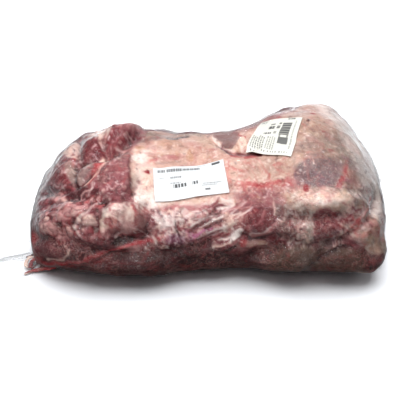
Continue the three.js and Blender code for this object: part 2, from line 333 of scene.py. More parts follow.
@dataclass(frozen=True)
class Crease:
    """A groove between muscles, through places [x, degrees]."""

    wide: float
    deep: float
    through: tuple[Place, ...]


# Front reach, back reach and height of the twelve evenly spaced sections, left to right.
SECTIONS = (
    (102, 92, 66), (108, 99, 99), (111, 101, 113), (113, 100, 115), (110, 95, 109), (103, 92, 106),
    (98, 95, 106), (100, 108, 112), (108, 127, 125), (112, 139, 133), (112, 130, 127), (108, 106, 100),
)

BULGES = (
    Bulge((-100, 68), 42, 17, -28, 8),  # rolled shank muscle
    Bulge((-135, 84), 20, 15, 20, 4.5),  # neck end muscle
    Bulge((-172, 90), 20, 27, -20, 4),  # end muscle
    Bulge((-134, 102), 22, 11, -30, 3),  # gristle strip
    Bulge((-100, 112), 24, 40, 0, 6.5),  # clod muscle
    Bulge((-146, 136), 24, 16, 0, 5.5),  # fat lump
    Bulge((-178, 138), 15, 15, 0, 4),  # small fat lump
    Bulge((-97, 139), 26, 19, 10, 6.5),  # cream lump
    Bulge((-166, 170), 26, 14, -10, 3.5),  # low end muscle
    Bulge((-120, 162), 26, 15, 0, 3.5),  # low middle muscle
    Bulge((-98, 184), 60, 14, 0, 3),  # left table roll
    Bulge((-30, 78), 50, 22, 0, 2.5),  # back membrane
    Bulge((10, 170), 46, 14, 5, 3),  # front middle roll
    Bulge((58, 152), 26, 17, 15, 4),  # round dark muscle
    Bulge((112, 92), 58, 52, 0, 3),  # blade dome
    Bulge((124, 138), 46, 12, -4, 7.5),  # fat ridge
    Bulge((178, 156), 20, 26, -20, 5),  # corner lump
    Bulge((88, 184), 38, 15, 0, 5),  # right table roll
    Bulge((153, 184), 30, 14, 0, 4),  # right corner roll
    Bulge((-120, 18), 46, 24, 8, 5),  # back left muscle
    Bulge((-38, 8), 40, 24, -12, 4),  # back middle muscle
    Bulge((70, 14), 52, 26, 10, 5),  # back right muscle
    Bulge((150, 30), 34, 28, -15, 5),  # back right knuckle
)

CORNER_FILLS = (
    Bulge((188, 192), 20, 22, 0, 11),  # trim that fills the right front corner
    Bulge((170, 200), 30, 16, 0, 5),  # its run towards the middle
    Bulge((-186, 196), 14, 16, 0, 5),  # trim that fills the left front corner
)

CREASES = (
    Crease(7, 7, ((-68, 42), (-86, 76), (-99, 88), (-117, 93), (-139, 94), (-151, 97))),
    Crease(6, 4.5, ((-122, 70), (-121, 82), (-116, 92))),
    Crease(6, 4, ((-157, 62), (-153, 78), (-152, 91), (-150, 105))),
    Crease(6, 5, ((-189, 98), (-165, 112), (-143, 111), (-119, 102), (-97, 90))),
    Crease(7, 5, ((-180, 118), (-145, 122), (-112, 129), (-86, 128), (-74, 112))),
    Crease(6, 6, ((-119, 152), (-115, 140), (-109, 130))),
    Crease(7, 5, ((-195, 155), (-159, 157), (-131, 168), (-94, 177), (-60, 173))),
    Crease(10, 8, ((-96, 158), (-78, 162), (-62, 157))),
    Crease(8, 4, ((-66, 132), (-60, 147), (-66, 164))),
    Crease(6, 4.5, ((18, 76), (28, 84), (44, 88), (58, 88))),
    Crease(8, 4.5, ((-42, 174), (-6, 171), (30, 160), (56, 168), (92, 166))),
    Crease(9, 5, ((92, 150), (118, 152), (142, 149))),
    Crease(7, 5, ((197, 117), (184, 138), (168, 157), (150, 170))),
    Crease(7, 5, ((52, 180), (70, 178), (88, 172), (110, 175), (140, 172), (160, 176))),
    Crease(7, 4, ((116, 198), (120, 186), (134, 176))),
    Crease(8, 5, ((-166, 36), (-128, 42), (-84, 36), (-66, 12))),
    Crease(8, 5, ((-66, 12), (-8, 24), (22, 4), (16, -12))),
    Crease(8, 5, ((22, 4), (56, 38), (104, 44), (132, 16))),
)


@dataclass(frozen=True)
class ShoulderForm:
    """The filled bag's form, in millimetres, with the relief that the solids have."""

    half_length: float = 206.0
    widest_share: float = 0.42
    upper_power: float = 2.5
    lower_power: float = 3.2
    plan_power: float = 5.0
    side_power: float = 4.0
    left_tip: float = 34.0
    right_tip: float = 50.0
    sag: float = 3.0
    end_skew: float = 0.05
    end_shift: float = 3.0
    skew_from: float = -90.0
    upper_from: float = -18.0
    upper_to: float = 200.0
    lumps: int = 170
    lump_radius: float = 12.0
    lump_rise: float = 1.5
    clear_of_table: float = 14.0
    middle: Point = (-19.713, 10.556, 0.0)  # the whole pack's middle, where the frame's origin is

    def plain(self, x: np.ndarray, degrees: np.ndarray) -> np.ndarray:
        """The form without relief.

        Each section is half one superellipse above its widest line and half another below it. It
        shrinks towards the ends by (1 - r^p)^(1/p), where r is the distance from the middle.

        Args:
            x: place along the shoulder.
            degrees: place round the section: 0 back, 90 top, 180 front, 270 underneath.

        Returns:
            Rows of x, y and z.
        """
        x, degrees = np.broadcast_arrays(np.asarray(x, float), np.asarray(degrees, float))
        share = (x + self.half_length) / (2 * self.half_length)
        front, back, height = np.moveaxis(through_values(np.array(SECTIONS), share), -1, 0)
        reach = np.clip(np.abs(x) / self.half_length, 0.0, 1.0)
        plan = (1 - reach**self.plan_power) ** (1 / self.plan_power)
        side = (1 - reach**self.side_power) ** (1 / self.side_power)
        widest = self.widest_share * height
        tips = smoothstep(-self.half_length, self.half_length, x)
        tip = self.left_tip + (self.right_tip - self.left_tip) * tips
        middle = widest + (tip - widest) * (1 - side)
        c, s = np.cos(np.radians(degrees)), np.sin(np.radians(degrees))
        power = np.where(s >= 0, 2 / self.upper_power, 2 / self.lower_power)
        y = signed_power(c, power) * np.where(c < 0, front, back) * plan
        z = middle + signed_power(s, power) * np.where(s >= 0, height - widest, widest) * side
        pressed = np.maximum(0.0, z - self.sag) * height / (height - self.sag)
        lean = smoothstep(self.skew_from, -self.half_length, x)
        return np.stack([x + lean * (self.end_skew * y + self.end_shift), y, pressed], -1)

    def normal(self, x: np.ndarray, degrees: np.ndarray) -> np.ndarray:
        """The plain form's outward direction: the cross product of two small steps on it."""
        step = 1.5
        ahead = self.plain(np.clip(x + step, -self.half_length, self.half_length), degrees)
        behind = self.plain(np.clip(x - step, -self.half_length, self.half_length), degrees)
        around = self.plain(x, degrees + step) - self.plain(x, degrees - step)
        return unit(np.cross(around, ahead - behind))

    def axes(self, at: Place) -> tuple[np.ndarray, np.ndarray, np.ndarray, np.ndarray]:
        """A place's point on the plain form, and the directions lengthways, sideways and outwards."""
        centre = self.plain(*map(np.asarray, at))
        normal = self.normal(*map(np.asarray, at))
        sideways = unit(np.cross(normal, [1.0, 0.0, 0.0]))
        return centre, unit(np.cross(sideways, normal)), sideways, normal

    def bulge_height(self, bulge: Bulge, points: np.ndarray) -> np.ndarray:
        """A smooth mound, rise times e^(-q^1.5), where q is the squared elliptical distance."""
        centre, lengthways, sideways, normal = self.axes(bulge.at)
        angle = math.radians(bulge.turn)
        first = math.cos(angle) * lengthways - math.sin(angle) * sideways
        second = np.cross(normal, first)
        away = points - centre
        far = ((away @ first / bulge.along) ** 2 + (away @ second / bulge.across) ** 2
               + (away @ normal / max(bulge.along, bulge.across)) ** 2)
        return bulge.rise * np.exp(-(far**1.5))

    def relief(self, points: np.ndarray) -> np.ndarray:
        """The solids' relief at points of the plain form: mounds, grooves and small lumps."""
        height = sum(self.bulge_height(bulge, points) for bulge in BULGES)
        for crease in CREASES:
            path = np.array([self.plain(*map(np.asarray, place)) for place in crease.through])
            height -= crease.deep * np.exp(-((distance_to_path(points, path) / crease.wide) ** 2))
        golden, silver = (math.sqrt(5) - 1) / 2, math.sqrt(2) - 1
        for i in range(1, self.lumps + 1):
            x = (i * golden % 1 - 0.5) * 2 * (self.half_length - self.lump_radius)
            degrees = self.upper_from + (i * silver % 1) * (self.upper_to - self.upper_from)
            size = 0.6 + 0.8 * (i * golden * silver % 1)
            gap = np.linalg.norm(points - self.plain(np.asarray(x), np.asarray(degrees)), axis=-1)
            rise = self.lump_rise * size * (-1 if i % 3 == 0 else 1)
            height += rise * np.exp(-((gap / (self.lump_radius * size)) ** 2))
        return height * smoothstep(0.0, self.clear_of_table, points[..., 2])

    def in_frame(self, points: np.ndarray) -> np.ndarray:
        """Points of the form in the frame's metres."""
        return (points - np.array(self.middle)) * MM


# ---- Meshes --------------------------------------------------------------------------------------
def grid_quads(rows: int, columns: int, wrap: bool = False) -> np.ndarray:
    """The four corners of each square of a grid of points, numbered row by row.

    Args:
        rows: how many rows of points.
        columns: how many points in a row.
        wrap: whether each row closes on itself.

    Returns:
        One row of four point numbers for each square.
    """
    row, column = np.meshgrid(np.arange(rows - 1), np.arange(columns if wrap else columns - 1),
                              indexing="ij")
    following = (column + 1) % columns
    a, b = row * columns + column, row * columns + following
    c, d = a + columns, b + columns
    return np.stack([a, b, d, c], -1).reshape(-1, 4)


def end_fans(rows: int, columns: int) -> np.ndarray:
    """The triangles that close a tube of rows at both ends.

    Args:
        rows: how many rows of points the tube has.
        columns: how many points in a row.

    Returns:
        Rows of three point numbers; the two tips are numbered straight after the tube's points.
    """
    first = np.arange(columns)
    following = (first + 1) % columns
    last, tip = (rows - 1) * columns, rows * columns
    return np.concatenate([
        np.stack([np.full(columns, tip), following, first], -1),
        np.stack([np.full(columns, tip + 1), last + first, last + following], -1),
    ])


def make_object(name: str, points: np.ndarray, quads: np.ndarray, triangles: np.ndarray | None = None,
                fields: dict[str, np.ndarray] | None = None) -> bpy.types.Object:
    """A smooth mesh object at the origin, with its faces turned outwards.

    Args:
        name: the object's name.
        points: rows of x, y and z in the frame's metres.
        quads: rows of four point numbers.
        triangles: rows of three point numbers, if it has any.
        fields: a number for each point, by the attribute's name.

    Returns:
        The new object, linked to the scene.
    """
    faces = quads.tolist() + ([] if triangles is None else triangles.tolist())
    corners = [points[quads[:, [0, 1, 2]]], points[quads[:, [0, 2, 3]]]]
    if triangles is not None:
        corners.append(points[triangles])
    a, b, c = np.moveaxis(np.concatenate(corners), 1, 0)
    if (a * np.cross(b, c)).sum() < 0:
        faces = [face[::-1] for face in faces]
    mesh = bpy.data.meshes.new(name)
    mesh.from_pydata(points.tolist(), [], faces)
    for key, values in (fields or {}).items():
        attribute = mesh.attributes.new(key, "FLOAT", "POINT")
        attribute.data.foreach_set("value", np.asarray(values, np.float32).ravel())
    mesh.shade_smooth()
    mesh.update()
    made = bpy.data.objects.new(name, mesh)
    bpy.context.scene.collection.objects.link(made)
    return made


def slab(upper: np.ndarray, lower: np.ndarray) -> tuple[np.ndarray, np.ndarray]:
    """A closed sheet between two grids of points of the same shape.

    Args:
        upper: the points of the upper face, as rows by columns by 3.
        lower: those of the lower face.

    Returns:
        The points in rows of three, and the squares in rows of four numbers.
    """
    rows, columns = upper.shape[:2]
    count = rows * columns
    top = grid_quads(rows, columns)
    rim = np.concatenate([
        np.arange(columns - 1),
        np.arange(rows - 1) * columns + columns - 1,
        (rows - 1) * columns + np.arange(columns - 1, 0, -1),
        np.arange(rows - 1, 0, -1) * columns,
    ])
    following = np.roll(rim, -1)
    walls = np.stack([rim, rim + count, following + count, following], -1)
    points = np.concatenate([upper.reshape(-1, 3), lower.reshape(-1, 3)])
    return points, np.concatenate([top, top[:, ::-1] + count, walls])


# ---- Node trees ----------------------------------------------------------------------------------
class Tree:
    """A short way to add and join nodes in a material or a node group."""

    def __init__(self, tree: bpy.types.NodeTree) -> None:
        """Args:
            tree: the node tree to build in, which is emptied first.
        """
        self.tree = tree
        tree.nodes.clear()

    def node(self, kind: str, values: dict | None = None, **settings: object) -> bpy.types.Node:
        """Adds a node.

        Args:
            kind: the node's type without the ShaderNode prefix.
            values: an input's name or number to its value, or to the socket that feeds it.
            settings: the node's own properties.

        Returns:
            The new node.
        """
        prefix = "" if kind.startswith("NodeGroup") else "ShaderNode"
        made = self.tree.nodes.new(prefix + kind)
        for key, value in settings.items():
            setattr(made, key, value)
        for key, value in (values or {}).items():
            self.feed(made.inputs[key], value)
        return made

    def feed(self, socket: bpy.types.NodeSocket, value: object) -> None:
        """Joins the value to the socket if it is a socket too, and otherwise sets it there."""
        if isinstance(value, bpy.types.NodeSocket):
            self.tree.links.new(value, socket)
        else:
            socket.default_value = value

    def math(self, operation: str, *values: object, clamp: bool = False) -> bpy.types.NodeSocket:
        """The result of a Math node on one, two or three values or sockets."""
        made = self.node("Math", dict(enumerate(values)), operation=operation, use_clamp=clamp)
        return made.outputs[0]

    def mix(self, factor: object, a: object, b: object, blend: str = "MIX") -> bpy.types.NodeSocket:
        """The colour that a Mix node makes of two colours."""
        made = self.node("Mix", data_type="RGBA", blend_type=blend, clamp_factor=True)
        for index, value in ((0, factor), (6, a), (7, b)):
            self.feed(made.inputs[index], value)
        return made.outputs[2]

    def ramp(self, value: object, low: float, high: float, to_low: float = 0.0,
             to_high: float = 1.0) -> bpy.types.NodeSocket:
        """A smooth step of the value from low to high, mapped to to_low and to_high."""
        made = self.node("MapRange", {0: value, 1: low, 2: high, 3: to_low, 4: to_high},
                         interpolation_type="SMOOTHSTEP")
        return made.outputs[0]

    def field(self, name: str) -> bpy.types.NodeSocket:
        """A mesh attribute's value."""
        return self.node("Attribute", attribute_name=name).outputs["Fac"]

    def place(self) -> bpy.types.NodeSocket:
        """The place on the object, in metres."""
        return self.node("TexCoord").outputs["Object"]

    def noise(self, vector: object, scale: float, detail: float = 3.0, rough: float = 0.5,
              distortion: float = 0.0) -> bpy.types.NodeSocket:
        """A Noise texture's value, about 0.5 in the middle; scale is in cells for each metre."""
        made = self.node("TexNoise", {"Vector": vector, "Scale": scale, "Detail": detail,
                                      "Roughness": rough, "Distortion": distortion})
        return made.outputs["Fac"]


def new_material(name: str) -> tuple[bpy.types.Material, Tree]:
    """A new material without nodes, and its Tree."""
    material = bpy.data.materials.new(name)
    material.use_nodes = True
    return material, Tree(material.node_tree)


def new_group(name: str, inputs: dict[str, float], outputs: dict[str, str]) -> tuple[
        bpy.types.NodeTree, Tree, bpy.types.Node, bpy.types.Node]:
    """An empty shader node group with named sockets.

    Args:
        name: the group's name.
        inputs: each number input's name and default; one named Vector is a vector.
        outputs: each output's name and its socket type.

    Returns:
        The group, its Tree, its input node and its output node.
    """
    group = bpy.data.node_groups.new(name, "ShaderNodeTree")
    tree = Tree(group)
    for key, value in inputs.items():
        kind = "NodeSocketVector" if key == "Vector" else "NodeSocketFloat"
        socket = group.interface.new_socket(name=key, in_out="INPUT", socket_type=kind)
        if key != "Vector":
            socket.default_value = value
    for key, kind in outputs.items():
        group.interface.new_socket(name=key, in_out="OUTPUT", socket_type=kind)
    return group, tree, tree.node("NodeGroupInput"), tree.node("NodeGroupOutput")


def linear(red: int, green: int, blue: int) -> tuple[float, float, float, float]:
    """A screen colour, 0 to 255 each, as the linear colour that a shader takes."""
    shares = (channel / 255 for channel in (red, green, blue))
    return tuple(s / 12.92 if s <= 0.04045 else ((s + 0.055) / 1.055) ** 2.4
                 for s in shares) + (1.0,)


# ---- The studio ----------------------------------------------------------------------------------
@dataclass(frozen=True)
class SoftLight:
    """A rectangular light: its place and aim in metres, its sides and its power in watts."""

    name: str
    place: Point
    aim: Point
    size: tuple[float, float]
    watts: float


@dataclass
class Studio:
    """The table, the camera and the lights."""

    view: PhotoView
    form: ShoulderForm
    table_half: float = 12.0
    table_drop: float = 0.0006
    sky_above: float = 0.42
    sky_beside: float = 0.0
    sky_mirrored: float = 0.9
    table_shown: tuple[float, float, float] = (1.5, 1.54, 1.6)
    table_bounce: float = 0.5
    table_mirrored: float = 1.6
    shadow_mirrored: float = 0.55
    shadow_reach: tuple[float, float] = (0.27, 0.16)
    shadow_edge: tuple[float, float] = (0.9, 1.9)
    ceiling_from: Point = (-0.05, 0.14, 1.0)
    ceiling_spread: float = math.radians(60.0)
    ceiling_strength: float = 2.3
    lights: tuple[SoftLight, ...] = (
        SoftLight("window", (-0.25, -1.0, 1.05), (0.0, 0.0, 0.06), (0.9, 0.5), 7.0),
        SoftLight("left lamp", (-1.1, -0.8, 0.7), (0.0, 0.0, 0.06), (0.07, 0.11), 0.9),
        SoftLight("front lamp", (-0.2, -1.4, 0.6), (0.0, 0.0, 0.05), (0.14, 0.06), 0.9),
        SoftLight("right lamp", (0.8, -1.1, 0.9), (0.05, 0.0, 0.06), (0.06, 0.16), 0.9),
        SoftLight("top lamp", (0.1, -0.3, 1.5), (0.0, 0.0, 0.1), (0.16, 0.12), 1.6),
        SoftLight("back lamp", (-0.4, 0.9, 1.2), (0.0, 0.0, 0.1), (0.3, 0.1), 2.0),
    )

    def build(self) -> None:
        """Makes the table, the camera, the lights and the pale surroundings."""
        self.make_table()
        self.make_camera()
        self.make_ceiling()
        for light in self.lights:
            self.make_light(light)
        world = bpy.data.worlds.new("pale room")
        world.use_nodes = True
        tree = Tree(world.node_tree)
        toward = tree.node("TexCoord").outputs["Generated"]
        rise = tree.node("VectorMath", {0: toward, 1: (0.0, 0.35, 0.94)}, operation="DOT_PRODUCT")
        sky = tree.ramp(rise.outputs["Value"], 0.1, 0.9, self.sky_beside, self.sky_above)
        path = tree.node("LightPath").outputs
        mirrored = tree.math("MULTIPLY", path["Is Glossy Ray"], self.sky_mirrored)
        strength = tree.math("MAXIMUM", tree.math("MAXIMUM", sky, mirrored), path["Is Camera Ray"])
        background = tree.node("Background", {"Color": (1.0, 1.0, 1.0, 1.0), "Strength": strength})
        tree.node("OutputWorld", {"Surface": background.outputs[0]})
        bpy.context.scene.world = world
        bpy.context.scene.view_settings.view_transform = "Standard"
        log.info("studio: %d lights", len(self.lights))

    def make_table(self) -> None:
        """A wide, plain, nearly white table top, just below the pack.

        To the film's reflections it shows a painted shadow: darker inside an oval round the pack, where
        its shadow lies.
        """
        half, z = self.table_half, -self.table_drop
        corners = np.array([[-half, -half, z], [half, -half, z], [half, half, z], [-half, half, z]])
        table = make_object("table", corners, np.array([[0, 1, 2, 3]]))
        material, tree = new_material("table white")
        path = tree.node("LightPath").outputs
        oval = tuple(1.0 / reach for reach in self.shadow_reach) + (0.0,)
        spread = tree.node("VectorMath", {0: tree.place(), 1: oval}, operation="MULTIPLY")
        far = tree.node("VectorMath", {0: spread.outputs["Vector"]}, operation="LENGTH")
        mirrored = tree.ramp(far.outputs["Value"], *self.shadow_edge, self.shadow_mirrored,
                             self.table_mirrored)
        grey = tree.mix(path["Is Glossy Ray"], (self.table_bounce,) * 3 + (1.0,), mirrored)
        grey = tree.mix(path["Is Camera Ray"], grey, self.table_shown + (1.0,))
        shader = tree.node("BsdfDiffuse", {"Color": grey})
        tree.node("OutputMaterial", {"Surface": shader.outputs[0]})
        table.data.materials.append(material)

    def aimed(self, data: bpy.types.ID, place: Vector, toward: Vector) -> bpy.types.Object:
        """Puts a camera or a lamp in the scene, and points it.

        Args:
            data: the camera's or the lamp's data, whose name it takes.
            place: where it stands, in metres.
            toward: the direction it points in.

        Returns:
            The new object.
        """
        made = bpy.data.objects.new(data.name, data)
        made.location = place
        made.rotation_mode = "QUATERNION"
        made.rotation_quaternion = toward.to_track_quat("-Z", "Y")
        bpy.context.scene.collection.objects.link(made)
        return made

    def make_camera(self) -> None:
        """The camera at the photo's place, with the small shift that its framing needs."""
        data = bpy.data.cameras.new("photo camera")
        data.sensor_width = 36.0
        data.lens = data.sensor_width * self.view.distance / self.view.width_at_aim
        data.shift_x = 0.5 - self.view.aim_px[0] / self.view.frame_px
        data.shift_y = self.view.aim_px[1] / self.view.frame_px - 0.5
        data.clip_start, data.clip_end = 0.01, 100.0
        place = Vector(self.form.in_frame(self.view.place))
        bpy.context.scene.camera = self.aimed(data, place, Vector(self.view.forward))

    def make_ceiling(self) -> None:
        """The even light of a white ceiling: a lamp that is far away and very wide."""
        data = bpy.data.lights.new("ceiling", "SUN")
        data.energy = self.ceiling_strength
        data.angle = self.ceiling_spread
        self.aimed(data, Vector(), -Vector(self.ceiling_from))

    def keep_lamps_off_table(self) -> None:
        """Lets the small lamps shine on the pieces alone, so the table keeps a clean shadow."""
        lit = bpy.data.collections.new("lit by lamps")
        for item in bpy.context.scene.objects:
            if item.type == "MESH" and item.name != "table":
                lit.objects.link(item)
        for light in self.lights:
            bpy.data.objects[light.name].light_linking.receiver_collection = lit

    def make_light(self, light: SoftLight) -> None:
        """Adds one soft light that points at its aim.

        Args:
            light: the light's sizes and power.
        """
        data = bpy.data.lights.new(light.name, "AREA")
        data.shape = "RECTANGLE"
        data.size, data.size_y = light.size
        data.energy = light.watts
        self.aimed(data, Vector(light.place), Vector(light.aim) - Vector(light.place))


# ---- Tissue --------------------------------------------------------------------------------------
CHANNELS = ("red", "green", "blue", "grain")
SCREEN_GAMMA = 2.2


@dataclass(frozen=True)
class Tissue:
    """What a mark is made of: its red, green and blue as on screen, its grain and its cover.

    Grain runs from 0, smooth fat, to 1, fibrous muscle. Cover is the share of what lies beneath that
    the tissue hides where it is laid at full strength.
    """

    red: int
    green: int
    blue: int
    grain: float
    cover: float = 1.0

    @property
    def look(self) -> tuple[float, float, float, float]:
        """The values of the four channels."""
        return self.red, self.green, self.blue, self.grain


# dark muscle, also laid as painted shade in the film's folds
DARK_MUSCLE_AND_SHADE = Tissue(70, 22, 30, 1.0)
MAROON = Tissue(108, 30, 40, 1.0)
MUSCLE = Tissue(118, 38, 48, 1.0)
MAUVE_MUSCLE = Tissue(148, 88, 93, 0.9)
PINK_MUSCLE = Tissue(184, 120, 120, 0.7)
RED_FLESH = Tissue(172, 58, 62, 0.7)
PINK_FAT = Tissue(210, 162, 158, 0.25)
CREAM_FAT = Tissue(244, 214, 198, 0.1)
YELLOW_FAT = Tissue(192, 160, 136, 0.2)
ORANGE_FAT = Tissue(200, 152, 122, 0.2)
MEMBRANE = Tissue(212, 174, 160, 0.25)
# white skin, also laid as painted glints and glare of the film
WHITE_SKIN_AND_GLINT = Tissue(252, 240, 234, 0.0)
BEIGE_MEMBRANE = Tissue(192, 162, 146, 0.3)
GRISTLE = Tissue(142, 110, 108, 0.5)
BRUISE = Tissue(108, 88, 92, 0.6)
GREY_SKIN = Tissue(148, 132, 122, 0.5)
# beige skin painted darker as shade, for the parts low down that turn under
SHADED_BEIGE_SKIN = Tissue(88, 66, 54, 0.8)
# a painted magenta sheen of the film's folds
PAINTED_MAGENTA_SHEEN = Tissue(214, 124, 172, 0.3)
BLOOD = Tissue(142, 18, 30, 0.3, 0.9)
RED_STREAK = Tissue(186, 62, 66, 0.3, 0.6)
# painted shade in holes, cracks and creases
HOLE_SHADE = Tissue(34, 12, 14, 0.2, 0.95)
SHADE = Tissue(44, 10, 14, 0.9, 0.5)
VIOLET = Tissue(150, 96, 132, 0.5, 0.6)


# Outlines and paths are texts of photo pixels, as pixels() reads them.
@dataclass(frozen=True)
class Area:
    """Tissue inside an outline of photo pixels, with an edge this soft and this rise in mm."""

    outline: str
    tissue: Tissue
    strength: float = 1.0
    soft: float = 1.0
    rise: float = 0.0


@dataclass(frozen=True)
class Patch:
    """An oval of tissue: middle and half-sizes in the photo's pixels, turned clockwise in degrees."""

    at: Pixel
    half: tuple[float, float]
    tissue: Tissue
    strength: float = 1.0
    soft: float = 0.5
    rise: float = 0.0
    turn: float = 0.0


@dataclass(frozen=True)
class Strand:
    """A line of tissue through photo pixels: its half-width in pixels and its rise in millimetres."""

    through: str
    wide: float
    tissue: Tissue
    strength: float = 1.0
    rise: float = 0.0


@dataclass(frozen=True)
class Scatter:
    """Many short lines inside an outline: how many, and their least and most length and half-width.

    Each line starts at a random place, runs in the given direction give or take the wander, bends a
    little at each of its four steps, and is made of one of the tissues in turn. Lengths are photo
    pixels, and angles are degrees.
    """

    outline: str
    tissues: tuple[Tissue, ...]
    count: int
    length: tuple[float, float]
    wide: tuple[float, float]
    turn: float
    wander: float
    strength: float
    seed: int

    def lines(self) -> Iterator[tuple[np.ndarray, float, Tissue, float]]:
        """Draws the lines from the scatter's own seed.

        Yields:
            Each line's path, half-width, tissue and strength.
        """
        draw = np.random.default_rng(self.seed)
        outline = pixels(self.outline)
        low, high = outline.min(0), outline.max(0)
        starts = low + draw.random((self.count * 12, 2)) * (high - low)
        starts = starts[inside_outline(starts, outline)][: self.count]
        for number, start in enumerate(starts):
            reach = draw.uniform(*self.length) / 4
            heading = math.radians(self.turn + draw.normal() * self.wander)
            bends = heading + np.cumsum(draw.normal(size=4)) * math.radians(self.wander) * 0.7
            steps = np.stack([np.cos(bends), np.sin(bends)], -1) * reach
            path = start + np.concatenate([np.zeros((1, 2)), np.cumsum(steps, axis=0)])
            yield (path, draw.uniform(*self.wide), self.tissues[number % len(self.tissues)],
                   self.strength * draw.uniform(0.6, 1.0))


@dataclass(frozen=True)
class Lobes:
    """Flesh broken into lobes inside an outline: their size and height in mm, and their tissues."""

    outline: str
    size: float
    tissues: tuple[Tissue, ...]
    gap_tissue: Tissue
    depth: float
    soft: float
    strength: float
    seed: int


@dataclass(frozen=True)
class HiddenPatch:
    """An oval of tissue where the photo doesn't reach, by [x, degrees] and half-sizes in mm."""

    at: Place
    half: tuple[float, float]
    turn: float
    tissue: Tissue
    strength: float


LEFT_END = (
    "38,200 48,160 70,140 110,124 146,124 126,148 127,185 130,206 122,212 122,226 140,236 150,250 "
    "150,268 60,268 34,250"
)
TOP_SKIN = "130,156 138,142 152,130 215,130 262,122 284,160 290,200 240,206 160,210 134,210"
DOME = "284,122 300,102 345,104 372,140 384,180 345,190 290,190 282,160"
RIGHT_END = "348,150 366,150 384,185 388,240 366,250 350,235 346,190"
FRONT_WEB = "276,206 312,207 352,207 366,214 350,232 344,248 290,250 276,240"
LOW_FRONT = "70,262 130,250 260,246 345,250 372,262 340,274 200,274 110,276"
BUNCHED_LEFT = "150,208 190,208 196,240 186,246 152,244"
BUNCHED_RIGHT = "184,214 200,206 238,206 240,226 232,244 196,246"

